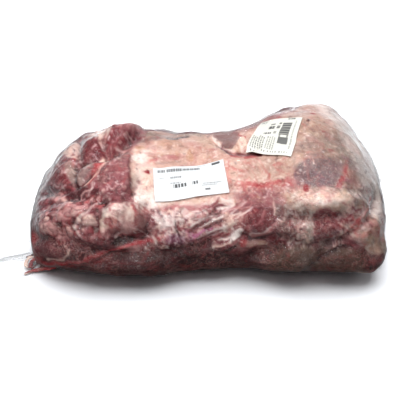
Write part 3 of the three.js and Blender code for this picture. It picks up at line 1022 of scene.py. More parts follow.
MARKS: tuple[Area | Patch | Strand | Scatter | Lobes, ...] = (
    # -- ground: the lean left end, the pale skin over the middle and right, the lean front
    Area("25,205 40,160 66,134 108,118 152,122 132,146 128,160 131,185 136,206 150,215 152,285 15,285",
         MUSCLE, 1, 2.5),
    Area("126,156 136,142 152,124 215,126 262,118 300,98 350,100 392,160 392,214 290,212 240,204 "
         "160,212 134,214 130,190", MEMBRANE, 1, 2),
    Area("146,208 200,212 250,202 300,208 392,208 392,285 146,285", MUSCLE, 0.9, 3),
    Area("284,120 300,100 345,100 392,160 392,205 330,190 290,190 280,160", BEIGE_MEMBRANE, 0.9, 5),
    Area("30,246 150,252 210,246 262,248 388,250 388,285 30,285", SHADED_BEIGE_SKIN, 0.75, 6),
    Area("133,148 154,150 156,205 142,212 134,200 131,170", CREAM_FAT, 0.8, 2.5),
    Area("132,196 160,200 200,202 234,196 236,212 200,216 150,214 126,212", WHITE_SKIN_AND_GLINT, 0.6, 4),
    Area("234,192 262,188 284,190 290,206 262,212 238,212", MAUVE_MUSCLE, 0.6, 4),
    Lobes(LEFT_END, 15, (MUSCLE, MAUVE_MUSCLE, MAROON, MUSCLE, PINK_MUSCLE), DARK_MUSCLE_AND_SHADE, 0.9, 4, 0.75,
          3),
    Lobes("150,206 262,202 300,206 350,208 384,210 384,268 150,268", 13, (MUSCLE, MAROON, MAUVE_MUSCLE,
          GREY_SKIN, MAROON), DARK_MUSCLE_AND_SHADE, 0.7, 4, 0.55, 8),
    Scatter(LEFT_END, (PINK_FAT, GRISTLE, MAROON, DARK_MUSCLE_AND_SHADE, RED_FLESH), 260, (5, 16), (0.6, 1.3),
            -38, 22, 0.6, 11),
    Scatter(TOP_SKIN, (PINK_MUSCLE, CREAM_FAT, WHITE_SKIN_AND_GLINT, YELLOW_FAT, BEIGE_MEMBRANE), 300, (6, 20),
            (0.7, 1.9), -12, 32, 0.4, 12),
    Scatter(DOME, (GREY_SKIN, YELLOW_FAT, PINK_MUSCLE, BRUISE, CREAM_FAT), 260, (6, 18), (0.6, 1.6), 38,
            26, 0.4, 13),
    Scatter(RIGHT_END, (PINK_FAT, GREY_SKIN, PINK_MUSCLE, CREAM_FAT, SHADE), 170, (4, 12), (0.6, 1.4),
            62, 28, 0.55, 14),
    # -- back of the left end: fat, end muscle, dark muscle and the rolled shank
    Area("56,159 61,146 71,140 80,144 80,160 70,158", CREAM_FAT, 0.85, 1.2, 0.8),
    Area("45,190 48,172 55,158 66,156 70,164 69,178 70,190 58,193", MUSCLE, 1, 1.5, 0.8),
    Patch((57, 166), (7, 6), MAROON, 0.6),
    Area("66,165 72,161 76,169 73,186 68,180", GREY_SKIN, 0.8),
    Area("80,141 88,140 102,141 104,152 98,159 84,161 79,152", MAROON, 1, 0.8, 0.8),
    Area("83,142 89,133 101,130 100,141 91,144", GRISTLE, 0.85, 1, 0.5),
    Area("96,132 110,126 120,125 112,138 106,149 101,147 99,140", CREAM_FAT, 0.85, 1.2, 0.5),
    Area("105,152 107,140 115,131 128,125 144,125 150,131 140,140 125,143 115,150 107,156", MUSCLE, 1,
         1, 0.8),
    Patch((109, 146), (5, 8), MAROON, 0.8, 0.5, 0, 20),
    Patch((135, 133), (11, 4), MAUVE_MUSCLE, 0.8, 0.5, 0, -5),
    Strand("117,134 125,131 133,132", 1.2, PINK_FAT, 0.6, 0.3),
    Strand("112,143 120,138 130,137 137,139", 1, PINK_FAT, 0.5, 0.3),
    Area("96,158 101,154 107,154 106,159 99,160", CREAM_FAT, 1, 0.7, 0.6),
    Strand("103,145 105,151", 1.6, PINK_FAT, 0.7),
    # -- gristle, the red flesh beside it and the long sinews
    Area("76,181 78,172 80,164 86,162 99,161 95,169 86,179 79,184", GRISTLE, 1, 0.8, 1.2),
    Area("78,163 86,162 82,168", CREAM_FAT, 0.9, 0.6),
    Patch((77, 172), (3, 5), MAROON, 0.7, 0.5, 0, 20),
    Area("85,183 91,174 98,165 104,160 104,167 97,177 88,185", RED_FLESH, 1, 0.9, 0.4),
    Strand("124,149 112,156 105,162 99,172 91,180 80,187 70,191 60,197", 1.3, CREAM_FAT, 0.95, 0.9),
    Strand("128,152 117,158 107,166 101,175", 1, PINK_FAT, 0.6, 0.4),
    Strand("92,184 100,180 106,181", 0.9, PINK_FAT, 0.6, 0.3),
    Strand("77,166 80,162 88,161 100,160 104,158", 1, HOLE_SHADE, 0.95, -2.2),
    Strand("77,165 73,169 74,178 75,187", 1.2, HOLE_SHADE, 0.9, -2.2),
    # -- the clod muscle
    Area("104,168 112,158 124,150 130,156 129,170 131,185 133,200 128,210 112,207 100,196 98,184",
         MAUVE_MUSCLE, 1, 1.2, 0.8),
    Patch((121, 156), (10, 5), GREY_SKIN, 0.5, 0.5, 0, -35),
    Patch((103, 178), (5, 8), GREY_SKIN, 0.45, 0.5, 0, 20),
    Patch((117, 172), (8, 5), MUSCLE, 0.35, 0.6),
    Patch((116, 198), (13, 7), MUSCLE, 0.5, 0.6, 0, 10),
    Patch((107, 174), (2.2, 1.3), CREAM_FAT, 0.9, 0.4, 0.3, -20),
    Strand("130,154 129,170 131,188 134,204", 1.1, SHADE, 0.6, -0.8),
    # -- the torn middle of the left end
    Lobes("44,200 62,196 90,196 112,200 122,210 122,232 100,238 60,240 40,236 38,214", 8.5, (PINK_FAT,
          PINK_MUSCLE, RED_FLESH, CREAM_FAT, PINK_FAT, MUSCLE), MAROON, 1.6, 4, 0.85, 5),
    Area("63,192 76,186 88,185 84,196 76,204 66,200", DARK_MUSCLE_AND_SHADE, 0.9),
    Strand("79,202 80,195 85,191 92,190", 0.9, PINK_FAT, 0.95, 0.6),
    Area("45,192 58,190 65,194 60,199 47,201", PINK_FAT, 0.9, 0.9, 0.6),
    Strand("45,187 58,189 68,187", 1, DARK_MUSCLE_AND_SHADE, 0.8, -0.6),
    Patch((94, 203), (12, 7), RED_FLESH, 0.7),
    Patch((91, 200), (3.2, 2), PINK_FAT, 0.9, 0.4, 0.6, -20),
    Patch((98, 197), (3, 1.6), PINK_FAT, 0.9, 0.4, 0.6, -30),
    Patch((104, 193), (2.4, 1.4), PINK_FAT, 0.8, 0.4, 0.5, -40),
    Patch((86, 206), (3, 2), PINK_FAT, 0.8, 0.4, 0.5),
    Patch((109, 201), (2.6, 1.6), PINK_FAT, 0.7, 0.4, 0.4, -20),
    Patch((101, 202), (3.2, 1.5), HOLE_SHADE, 1, 0.4, -1.6, -25),
    Patch((105, 206), (1.6, 1.3), HOLE_SHADE, 0.9, 0.4, -1.2),
    Patch((97, 211), (1.4, 2.2), HOLE_SHADE, 0.8, 0.4, -1),
    Patch((75, 205), (2, 1.2), HOLE_SHADE, 0.9, 0.4, -1),
    # -- pink lobes of fat
    Patch((47, 206), (10, 8), MUSCLE, 0.9, 0.35, 0.9),
    Patch((65, 207), (8, 6), PINK_FAT, 0.95, 0.3, 1.3, -10),
    Patch((75, 212), (8, 6), PINK_FAT, 0.95, 0.3, 1.3, 15),
    Patch((63, 217), (9, 5), PINK_FAT, 0.9, 0.3, 1.2, 5),
    Patch((83, 208), (4, 3), PINK_FAT, 0.8, 0.4, 0.8, -30),
    Strand("56,211 66,212 73,206", 0.9, RED_FLESH, 0.7, -0.8),
    Strand("68,218 76,219 83,213", 0.9, RED_FLESH, 0.7, -0.8),
    Patch((50, 228), (9, 8), PINK_FAT, 0.85, 0.35, 1.2, 10),
    Strand("41,232 50,236 59,235", 1.1, RED_FLESH, 0.8, -0.6),
    Patch((61, 225), (3.2, 2.2), HOLE_SHADE, 0.85, 0.4, -1.4),
    Patch((70, 224), (3, 2), MAROON, 0.9, 0.4, -0.8),
    Patch((77, 221), (3.5, 4.5), DARK_MUSCLE_AND_SHADE, 0.8, 0.4, 0, 20),
    Strand("99,202 89,211 80,220 75,227", 1.4, GRISTLE, 0.95, 0.9),
    Strand("75,227 80,233 88,240", 1.3, GRISTLE, 0.9, 0.8),
    Patch((88, 221), (8, 6), CREAM_FAT, 0.85, 0.35, 1, 10),
    Patch((91, 232), (8, 5), MUSCLE, 0.9, 0.4),
    Patch((104, 224), (6, 9), CREAM_FAT, 0.9, 0.3, 1, -10),
    Strand("97,214 98,224 96,232", 1, MAROON, 0.8, -1),
    Patch((114, 212), (13, 6), CREAM_FAT, 1, 0.3, 1.2, -5),
    Patch((129, 213), (9, 10), MEMBRANE, 1, 0.35),
    Patch((113, 222), (5.5, 3.2), RED_FLESH, 1, 0.5, 0, 5),
    Patch((106, 233), (7, 5), PINK_FAT, 0.6, 0.4),
    Patch((118, 232), (9, 3.5), PINK_MUSCLE, 0.8, 0.4, 0, -10),
    Patch((60, 236), (4.5, 4), PINK_FAT, 0.8, 0.4, 0.6),
    Patch((69, 234), (7, 6), PINK_MUSCLE, 0.8, 0.4, 0.5),
    # -- low muscles of the left end
    Area("66,240 80,234 97,239 108,248 90,254 72,251", MUSCLE, 0.9, 1.2, 0.8),
    Patch((46, 238), (11, 3.5), DARK_MUSCLE_AND_SHADE, 0.9, 0.5, -0.6, 22),
    Area("35,247 46,241 58,243 68,250 64,258 50,259 39,254", MAUVE_MUSCLE, 0.9, 1, 0.6),
    Strand("66,246 70,251 68,256 60,259 48,260", 0.9, PINK_FAT, 0.8, 0.4),
    Strand("33,234 31,246 36,256 46,262", 2.2, RED_FLESH, 0.8),
    Strand("46,262 62,263 76,260 92,257 106,253 122,249", 1.5, RED_FLESH, 1, 0.6),
    Strand("62,266 78,262 100,257 138,247", 1, RED_FLESH, 0.7, 0.3),
    Strand("66,268 90,262 128,252", 1.6, SHADE, 0.8, -0.8),
    Area("62,269 92,262 130,254 152,250 152,285 62,285", MAROON, 0.8, 1.5),
    Patch((133, 252), (7, 3), PINK_FAT, 0.8, 0.4, 0.5, 10),
    Patch((112, 260), (14, 2.5), RED_FLESH, 0.5, 0.5, 0, -5),
    Patch((146, 262), (12, 4), RED_FLESH, 0.4, 0.5, 0, 5),
    Patch((100, 243), (9, 4.5), DARK_MUSCLE_AND_SHADE, 0.8, 0.4),
    Patch((121, 243), (9, 3.2), HOLE_SHADE, 0.9, 0.5, -2, 5),
    Patch((134, 230), (7, 6), MUSCLE, 0.7),
    Patch((146, 228), (3, 9), DARK_MUSCLE_AND_SHADE, 0.95, 0.4, -1),
    # -- the pale skin over the middle
    Strand("130,141 148,139 168,136", 2, BRUISE, 0.6),
    Strand("140,135 165,134 203,135", 1.4, GREY_SKIN, 0.7),
    Patch((140, 146), (6, 2), ORANGE_FAT, 0.7, 0.6),
    Patch((168, 143), (12, 5), ORANGE_FAT, 0.45, 0.6, 0, 5),
    Patch((190, 155), (4, 5), ORANGE_FAT, 0.8, 0.6, 0, 20),
    Patch((176, 156), (3, 4), ORANGE_FAT, 0.6, 0.6, 0, 20),
    Patch((205, 143), (12, 6), YELLOW_FAT, 0.4, 0.6),
    Patch((172, 157), (10, 2.4), PINK_MUSCLE, 0.8, 0.5, 0, -5),
    Patch((154, 160), (6, 1.6), RED_STREAK, 0.7, 0.5, 0, -20),
    Patch((194, 147), (9, 4), PINK_MUSCLE, 0.35, 0.6),
    Patch((152, 153), (8, 2.5), PINK_MUSCLE, 0.35, 0.6, 0, 20),
    Patch((139, 157), (8, 5), WHITE_SKIN_AND_GLINT, 0.8),
    Patch((150, 200), (14, 10), WHITE_SKIN_AND_GLINT, 0.6),
    Strand("158,163 180,161", 1, SHADE, 0.4),
    Strand("170,138 178,139.5 182,137.5 187,136.5", 0.9, HOLE_SHADE, 1, -1.6),
    Patch((147.5, 172.5), (3.8, 1.7), BLOOD, 1, 0.4, 0, -5),
    Patch((135.5, 193), (0.9, 1.7), HOLE_SHADE, 0.9, 0.4),
    # -- behind and right of the weight label
    Area("222,131 240,124 262,117 282,111 282,118 262,125 250,131 236,132", MAUVE_MUSCLE, 0.5, 1.5),
    Area("213,135 222,132 236,131 237,139 232,146 225,143", GRISTLE, 1, 0.8),
    Strand("233,132 238,134 245,138", 1.1, RED_FLESH, 0.9),
    Area("237,141 242,136 247,141 248,149 239,148", CREAM_FAT, 0.9, 0.8, 0.6),
    Strand("213,139 222,144 230,148 240,147", 1.2, CREAM_FAT, 1, 0.8),
    Area("225,149 236,149 250,151 263,153 262,157 244,159 230,156", RED_FLESH, 1, 0.8, -1.2),
    Patch((240, 154), (9, 1.6), MAROON, 0.7, 0.5, 0, 5),
    Strand("221,144.5 224,147 228,149.5", 0.9, HOLE_SHADE, 1, -1.8),
    # painted shadow under the weight label's edge
    Strand("246,153.5 258,155", 0.8, HOLE_SHADE, 0.8),
    Strand("274,122 279,116", 1.4, RED_STREAK, 0.6),
    Strand("232,168 240,170 246,169.5", 1.2, RED_STREAK, 0.9),
    Strand("228,161 228,172 230,182", 1.4, RED_STREAK, 0.5),
    Strand("238,181 250,184 262,184 274,183 288,179", 1.6, RED_STREAK, 0.9),
    Patch((256, 187), (14, 4), RED_FLESH, 0.15, 0.6),
    Patch((264, 168), (28, 14), BEIGE_MEMBRANE, 0.6, 0.6),
    Strand("252,156 262,163 267,172 271,181", 0.9, RED_STREAK, 0.6),
    Strand("240,160 250,166 255,176", 0.8, RED_STREAK, 0.4),
    Patch((278, 165), (5, 1.6), RED_STREAK, 0.5),
    Patch((291, 184), (8, 6), PINK_MUSCLE, 0.5),
    Area("236,192 255,186 276,188 282,207 262,214 242,211", MAUVE_MUSCLE, 0.7, 4),
    # -- the blade dome
    Patch((312, 110), (26, 8), MEMBRANE, 0.6, 0.6),
    Patch((318, 136), (26, 16), YELLOW_FAT, 0.35, 0.7),
    Patch((334, 146), (22, 14), GREY_SKIN, 0.6, 0.7, 0, 30),
    Patch((304, 146), (14, 8), GREY_SKIN, 0.3, 0.7),
    # a painted highlight along the top of the dome
    Area("318,102 338,104 352,116 366,136 352,130 336,116 318,108", WHITE_SKIN_AND_GLINT, 0.5, 4),
    Patch((309, 121.5), (2.2, 1.1), HOLE_SHADE, 0.9, 0.4, 0, -15),
    Patch((313, 114), (3, 0.9), BLOOD, 0.7, 0.5, 0, 5),
    Patch((324, 132), (2, 1.2), BLOOD, 0.4),
    Patch((330, 121), (2, 1), BLOOD, 0.4),
    # grey skin, with painted shade where the dome turns away to the right
    Area("336,128 350,128 362,150 360,170 346,168 338,150", GREY_SKIN, 0.75, 4),
    Area("295,176 300,166 307,160 322,160 336,157 341,170 338,182 325,187 308,187 298,184", BRUISE, 0.8,
         2),
    Patch((323, 172), (6, 5), BRUISE, 0.8, 0.5, 0, 30),
    Patch((302, 166), (4, 3), BRUISE, 0.7),
    Patch((323, 152), (3, 2), BRUISE, 0.6, 0.5, 0, 30),
    Patch((330, 152), (2.4, 1.6), BLOOD, 0.5, 0.5, 0, 30),
    Patch((313, 157), (6, 1.6), BRUISE, 0.6),
    Patch((337, 161), (4, 4), BRUISE, 0.8),
    Patch((306, 188), (2.4, 4), BLOOD, 1, 0.35),
    Patch((306, 189), (1.4, 2.4), HOLE_SHADE, 0.6, 0.4),
    Strand("347,162 343,172 341,186", 1.5, RED_STREAK, 0.9),
    Patch((343, 178), (3, 5), RED_FLESH, 0.6),
    Patch((338, 187), (3, 2), RED_STREAK, 0.8),
    Strand("352,166 350,176 352,186", 1, RED_STREAK, 0.5),
    # -- the fat ridge and the right end
    Area("290,194 302,190 316,196 334,194 346,188 350,199 343,210 322,211 300,210 286,203", YELLOW_FAT,
         0.9, 3, 0.8),
    Patch((298, 197), (12, 5), BEIGE_MEMBRANE, 0.8, 0.6),
    Patch((322, 201), (16, 4), CREAM_FAT, 0.6, 0.6),
    Patch((338, 202), (8, 4), BEIGE_MEMBRANE, 0.5, 0.6),
    Strand("294,206 318,206 337,207", 1.2, CREAM_FAT, 1, 0.5),
    Area("350,168 384,170 386,215 366,214 350,205", GREY_SKIN, 0.65, 3),
    Strand("351,205 355,211 360,209 362,202", 1, MUSCLE, 0.7),
    Strand("353,198 359,196 363,199", 0.9, MUSCLE, 0.5),
    Patch((356, 216), (5, 4), GREY_SKIN, 0.6),
    # -- front right
    Area("246,219 250,210 262,207 274,211 276,222 268,230 256,234 248,229", DARK_MUSCLE_AND_SHADE, 0.9),
    Patch((264, 218), (9, 8), MAROON, 0.8),
    Patch((253, 223), (3, 3), PINK_MUSCLE, 0.7),
    Strand("286,212 282,221 273,229 262,234 250,236", 2.6, PINK_MUSCLE, 0.95, 0.8),
    Strand("250,234 262,232 272,227", 0.8, WHITE_SKIN_AND_GLINT, 0.7, 0.3),
    Strand("248,240 262,238 273,232 284,225", 1.6, DARK_MUSCLE_AND_SHADE, 0.8, -0.8),
    Strand("274,203 276,215", 1.6, CREAM_FAT, 0.7),
    Patch((287, 217), (2.2, 5.5), MAROON, 0.95, 0.4),
    Area("276,204 312,208 315,226 315,247 290,247 278,238", GREY_SKIN, 0.55, 1.5),
    Area("303,210 311,210 314,225 313,242 306,242 304,226", GREY_SKIN, 0.8, 2),
    Patch((299, 229), (6, 1.3), DARK_MUSCLE_AND_SHADE, 0.6),
    Patch((298, 235), (7, 1.3), DARK_MUSCLE_AND_SHADE, 0.6),
    Patch((296, 242), (8, 2), DARK_MUSCLE_AND_SHADE, 0.8, 0.5, 0, -5),
    Area("313,213 322,209 332,212 340,216 342,232 338,238 328,240 316,248 313,232", MAROON),
    Patch((327, 217), (5, 3), GREY_SKIN, 0.6, 0.5, 0, 20),
    Patch((323, 234), (3, 4), GRISTLE, 0.8),
    Patch((336, 223), (3, 3), GREY_SKIN, 0.5),
    Area("342,223 348,208 354,218 350,227", MAROON, 0.9, 0.8),
    Patch((344, 224), (3, 3), GREY_SKIN, 0.7),
    Area("318,247 326,240 336,238 339,244 330,251 318,255", BRUISE, 0.8),
    Area("350,233 360,222 368,213 380,215 384,230 381,247 366,249 354,241", BEIGE_MEMBRANE, 1, 1.2,
         0.8),
    Patch((361, 227), (8, 4), PINK_FAT, 0.8, 0.5, 0.6, -25),
    Patch((366, 243), (7, 4), PINK_FAT, 0.5, 0.5, 0, 10),
    Patch((356, 239), (4, 2.5), DARK_MUSCLE_AND_SHADE, 0.7, 0.5, 0, 20),
    Strand("375,196 369,206 362,217 352,228 346,234", 1.7, RED_FLESH, 1, 0.6),
    Strand("352,229 346,236 341,242", 1.3, MAROON, 0.8, -0.5),
    Strand("372,203 376,212", 1, PINK_FAT, 0.6),
    # -- low front
    Area("152,210 172,204 215,207 232,214 236,235 215,240 190,238 160,243 150,232", PINK_MUSCLE, 0.85,
         2.5),
    Patch((164, 219), (10, 8), WHITE_SKIN_AND_GLINT, 0.7),
    Patch((158, 228), (6, 5), CREAM_FAT, 0.7),
    Patch((184, 218), (12, 7), WHITE_SKIN_AND_GLINT, 0.45),
    Patch((161, 239), (4.5, 2.4), RED_FLESH, 1, 0.4, 0.4, -10),
    Patch((151, 242), (6, 4), PINK_FAT, 0.7),
    Patch((179, 239), (9, 4), DARK_MUSCLE_AND_SHADE, 0.9),
    Area("165,243 190,239 212,240 215,250 210,262 180,262 165,255", DARK_MUSCLE_AND_SHADE, 0.8, 2),
    Area("222,223 233,218 236,224 229,230 224,229", CREAM_FAT, 0.95, 1, 0.5),
    Patch((225, 214), (4, 3), CREAM_FAT, 0.8, 0.5, 0.4),
    Area("230,242 236,234 242,228 241,236 236,241", WHITE_SKIN_AND_GLINT, 1, 0.8, 0.5),
    Area("237,226 243,215 254,208 262,210 252,222 246,232", MAROON, 0.9, 1.2),
    Patch((249, 228), (4, 3), PINK_MUSCLE, 0.7),
    Patch((243, 243), (3.2, 3), RED_FLESH, 0.9, 0.4),
    Patch((234, 250), (13, 4), PINK_MUSCLE, 0.7),
    Patch((252, 243), (7, 3), BEIGE_MEMBRANE, 0.7),
    Patch((262, 244), (5, 2.4), YELLOW_FAT, 0.8),
    Strand("217,254 227,250 235,246", 1.4, HOLE_SHADE, 0.9, -1.5),
    Strand("252,257 268,256 284,248 302,241", 2, DARK_MUSCLE_AND_SHADE, 0.95, -1),
    Area("276,260 290,251 304,248 318,253 318,262 304,269 284,273 272,268", SHADED_BEIGE_SKIN, 0.9, 1.5, 0.8),
    Patch((270, 262), (9, 4), RED_FLESH, 0.5, 0.5, 0, 10),
    Patch((244, 258), (16, 3), PINK_MUSCLE, 0.5, 0.5, 0, -5),
    Area("320,262 332,254 352,250 364,258 360,268 320,272", GREY_SKIN, 0.7, 1.5),
    Patch((336, 254), (15, 5), MAROON, 0.6),
    Patch((371, 256), (6, 4), HOLE_SHADE, 0.5, 0.5, 0, -20),
    Strand("302,269 318,262 326,256 340,250 352,248", 1.2, HOLE_SHADE, 0.7, -1.4),
    # -- shade of the parts that turn under
    Area("30,246 46,240 70,248 100,246 150,248 190,244 240,246 290,246 350,246 390,244 390,290 30,290",
         SHADE, 0.75, 8),
    Area("30,256 100,258 240,256 390,256 390,290 30,290", SHADE, 0.8, 6),
    Area("34,232 60,240 90,236 118,238 140,232 160,244 160,262 34,262", SHADE, 0.7, 6),
    Patch((62, 250), (16, 8), DARK_MUSCLE_AND_SHADE, 0.6, 0.5, 0, 8),
    Patch((326, 225), (14, 15), MAROON, 0.6),
    # -- the bunched film's streaks in front of the middle: painted highlights, shade and sheen of its folds over the flesh
    Scatter(BUNCHED_LEFT, (WHITE_SKIN_AND_GLINT, MAROON, CREAM_FAT, DARK_MUSCLE_AND_SHADE, PINK_MUSCLE, WHITE_SKIN_AND_GLINT), 150,
            (4, 10), (0.6, 1.2), 68, 26, 0.8, 21),
    Area("186,230 200,224 214,226 216,234 206,240 190,242", PAINTED_MAGENTA_SHEEN, 0.5, 3),
    Scatter(BUNCHED_RIGHT, (WHITE_SKIN_AND_GLINT, DARK_MUSCLE_AND_SHADE, PINK_FAT, MAROON, PINK_MUSCLE), 140, (7, 18),
            (0.7, 1.3), -26, 9, 0.85, 22),
    Strand("196,222 206,217 214,210", 1, DARK_MUSCLE_AND_SHADE, 0.9, -0.6),
    Strand("198,238 213,234 224,229", 1.1, WHITE_SKIN_AND_GLINT, 0.95, 0.5),
    Strand("200,227 212,222 222,217", 1, WHITE_SKIN_AND_GLINT, 0.9, 0.5),
    Strand("218,241 230,238 242,230", 1.1, WHITE_SKIN_AND_GLINT, 0.95, 0.5),
    Strand("175,222 178,232 182,241", 1.1, HOLE_SHADE, 0.8, -0.8),
    Strand("163,216 165,222 163,228", 1, DARK_MUSCLE_AND_SHADE, 0.8, -0.6),
    # -- fine threads and specks, region by region
    Scatter(LEFT_END, (CREAM_FAT, HOLE_SHADE, PINK_FAT, WHITE_SKIN_AND_GLINT, MAROON), 230, (2, 8), (0.5, 0.9), -40, 30,
            0.6, 31),
    Scatter(TOP_SKIN, (RED_STREAK, WHITE_SKIN_AND_GLINT, CREAM_FAT, ORANGE_FAT), 190, (2, 9), (0.5, 0.9), 10, 50,
            0.45, 32),
    Scatter("225,155 262,156 292,176 294,196 236,196", (RED_STREAK, CREAM_FAT, WHITE_SKIN_AND_GLINT,
            BEIGE_MEMBRANE), 110, (4, 14), (0.5, 0.9), 25, 40, 0.4, 33),
    Scatter(DOME, (WHITE_SKIN_AND_GLINT, GREY_SKIN, RED_STREAK, BRUISE), 170, (2, 8), (0.5, 0.9), 35, 40, 0.35,
            34),
    Scatter(FRONT_WEB, (WHITE_SKIN_AND_GLINT, CREAM_FAT, HOLE_SHADE, PINK_FAT, MAROON), 330, (2, 8), (0.45, 0.8), 78,
            40, 0.6, 35),
    Area("314,214 322,210 332,212 338,217 339,230 330,238 318,241", DARK_MUSCLE_AND_SHADE, 0.7, 1.5),
    Strand("317,236 324,230 333,228", 0.8, GREY_SKIN, 0.7),
    Strand("320,214 327,218 336,217", 0.8, GREY_SKIN, 0.6),
    Scatter(RIGHT_END, (WHITE_SKIN_AND_GLINT, GREY_SKIN, MUSCLE, CREAM_FAT), 130, (2, 7), (0.5, 0.8), 60, 40, 0.5,
            36),
    Scatter(LOW_FRONT, (MAROON, RED_FLESH, DARK_MUSCLE_AND_SHADE, HOLE_SHADE, GREY_SKIN), 240, (7, 22), (0.6, 1.3), -6,
            12, 0.5, 37),
    Scatter("292,158 344,154 346,186 300,190", (GREY_SKIN, BRUISE, BEIGE_MEMBRANE, VIOLET), 70, (5, 13),
            (0.9, 2.2), 32, 14, 0.5, 41),
    Scatter(DOME, (CREAM_FAT, PINK_MUSCLE, YELLOW_FAT, BRUISE), 60, (8, 20), (2, 4.5), 40, 30, 0.28,
            42),
    # -- painted glare of the film on the right end, then second touches over what is laid, all along the shoulder
    Area("312,101 338,103 356,118 372,146 386,178 390,214 372,214 362,184 350,154 338,130 320,112",
         WHITE_SKIN_AND_GLINT, 0.62, 4),
    Strand("146,150 140,168 138,190", 5, WHITE_SKIN_AND_GLINT, 0.5),
    Area("213,136 223,132 238,132 239,140 232,146 222,142", GRISTLE, 0.85, 0.8),
    Strand("213,138 220,143 231,148", 1, WHITE_SKIN_AND_GLINT, 0.8, 0.4),
    Strand("222,145 228,150 240,154 258,155", 1.8, MAROON, 0.85, -0.6),
    Strand("168,138 176,139.5 181,138 188,136.5", 1.2, HOLE_SHADE),
    Patch((114, 212), (12, 5), WHITE_SKIN_AND_GLINT, 0.75, 0.5, 0, -5),
    # painted glints of the crinkled film, over pale flesh in front of the middle
    Scatter("156,210 196,208 232,210 236,236 190,240 158,238", (WHITE_SKIN_AND_GLINT, CREAM_FAT, GREY_SKIN), 90,
            (2, 8), (0.7, 1.3), -30, 45, 0.75, 43),
    # painted sheen, shade and highlights of the film's folds in front of the middle
    Patch((177, 240), (11, 5), VIOLET, 0.7, 0.6, 0, -4),
    Strand("194,236 203,231 212,229", 1.5, PAINTED_MAGENTA_SHEEN, 0.95, 0.3),
    Strand("190,231 200,224 211,221", 1.5, DARK_MUSCLE_AND_SHADE, 0.9, -0.9),
    Strand("205,219 212,215 220,213", 1.4, DARK_MUSCLE_AND_SHADE, 0.9, -0.9),
    Strand("206,229 216,224 225,221", 1.5, DARK_MUSCLE_AND_SHADE, 0.9, -0.9),
    Strand("194,241 208,236 220,230", 1.4, DARK_MUSCLE_AND_SHADE, 0.8, -0.7),
    Strand("192,226 202,219 211,216", 1.1, WHITE_SKIN_AND_GLINT, 0.8, 0.4),
    Strand("204,225 214,220 223,217", 1.1, WHITE_SKIN_AND_GLINT, 0.85, 0.4),
    Strand("208,233 218,229 227,225", 1.1, WHITE_SKIN_AND_GLINT, 0.8, 0.4),
    Area("228,243 232,235 241,227 243,231 239,239", WHITE_SKIN_AND_GLINT, 1, 0.8, 0.8),
    Strand("213,247 222,245 232,242", 1, CREAM_FAT, 0.9, 0.4),
    Area("43,262 55,261 56,267 44,268", GRISTLE, 0.8),
    Strand("40,268 41,264 45,259", 1, DARK_MUSCLE_AND_SHADE, 0.8),
    Strand("77,167 84,162 94,160 104,159", 0.9, HOLE_SHADE, 0.9, -1),
    Strand("77,166 73,171 74,179 77,186", 1, HOLE_SHADE, 0.85, -1),
    Patch((99, 134), (10, 6), CREAM_FAT, 0.75, 0.5, 0, -20),
    Patch((83, 164.5), (4, 1.6), WHITE_SKIN_AND_GLINT, 0.9, 0.4, 0, -15),
    Patch((106, 174), (8, 10), MAROON, 0.4, 0.7, 0, 30),
    Patch((127, 146), (11, 4), PINK_FAT, 0.55, 0.6, 0, -18),
    Patch((132, 127), (16, 4), PINK_MUSCLE, 0.6, 0.6),
    Patch((93, 208), (9, 7), MAROON, 0.35, 0.7),
    Patch((64, 210), (13, 9), MAUVE_MUSCLE, 0.4, 0.7),
    Patch((297, 186), (10, 6), MAUVE_MUSCLE, 0.45, 0.7),
    Scatter("62,140 96,128 148,124 132,150 130,200 96,214 48,212 46,176", (DARK_MUSCLE_AND_SHADE, WHITE_SKIN_AND_GLINT,
            RED_FLESH, GRISTLE), 120, (3, 12), (0.5, 0.9), -42, 24, 0.6, 47),
    Scatter("284,205 350,205 350,212 284,212", (CREAM_FAT, WHITE_SKIN_AND_GLINT, GREY_SKIN), 50, (3, 9),
            (0.9, 1.6), 10, 40, 0.7, 48),
    # -- the left end's low edge and the lobes beside the weight label
    Strand("33,236 32,244 37,252", 2.6, BLOOD, 0.7),
    Strand("47,263 60,264 76,261 92,257 108,252 124,248 140,245 152,243", 1.5, BLOOD, 0.9, 0.6),
    Strand("66,267 84,264 104,259 128,253", 1.1, RED_FLESH, 0.6, 0.3),
    Strand("78,270 100,266 126,262 150,262", 1.2, MAROON, 0.8, 0.3),
    Patch((134, 251), (7, 3.4), PINK_FAT, 0.7, 0.5, 0.5, -15),
    Area("111,243 118,238 128,237 137,240 132,245 120,247", HOLE_SHADE, 0.9, 1.5, -1.5),
    Area("120,206 131,202 138,208 134,222 126,229 119,221", WHITE_SKIN_AND_GLINT, 0.45, 1.5, 0.3),
    Scatter("104,205 140,202 151,214 149,238 120,238 100,232", (WHITE_SKIN_AND_GLINT, PINK_MUSCLE, MAUVE_MUSCLE,
            CREAM_FAT, MAROON, RED_FLESH), 150, (3, 9), (0.6, 1.3), 62, 36, 0.6, 49),
    Area("127,227 136,224 144,228 147,238 138,240 128,236", MAROON, 0.7, 1.2),
    Patch((150, 231), (6, 8), PINK_FAT, 0.6, 0.6),
    Strand("124,226 135,227 143,232 149,240", 1.1, WHITE_SKIN_AND_GLINT, 0.7, 0.4),
    Strand("150,214 147,224 149,236", 1.5, DARK_MUSCLE_AND_SHADE, 0.7, -0.6),
    Area("79,228 84,221 92,219 97,224 90,229 84,236", GRISTLE, 0.6, 1.2, 0.4),
    Strand("99,201 90,211 81,221 76,228 84,238", 1.2, WHITE_SKIN_AND_GLINT, 0.5, 0.3),
    # -- the low front, from left to right
    Patch((38, 259), (6, 4), RED_FLESH, 0.6, 0.5, 0, -10),
    Patch((52, 251), (13, 5), MAUVE_MUSCLE, 0.5, 0.5, 0, 12),
    Strand("66,247 69,251 67,256 60,258", 0.8, PINK_FAT, 0.7, 0.3),
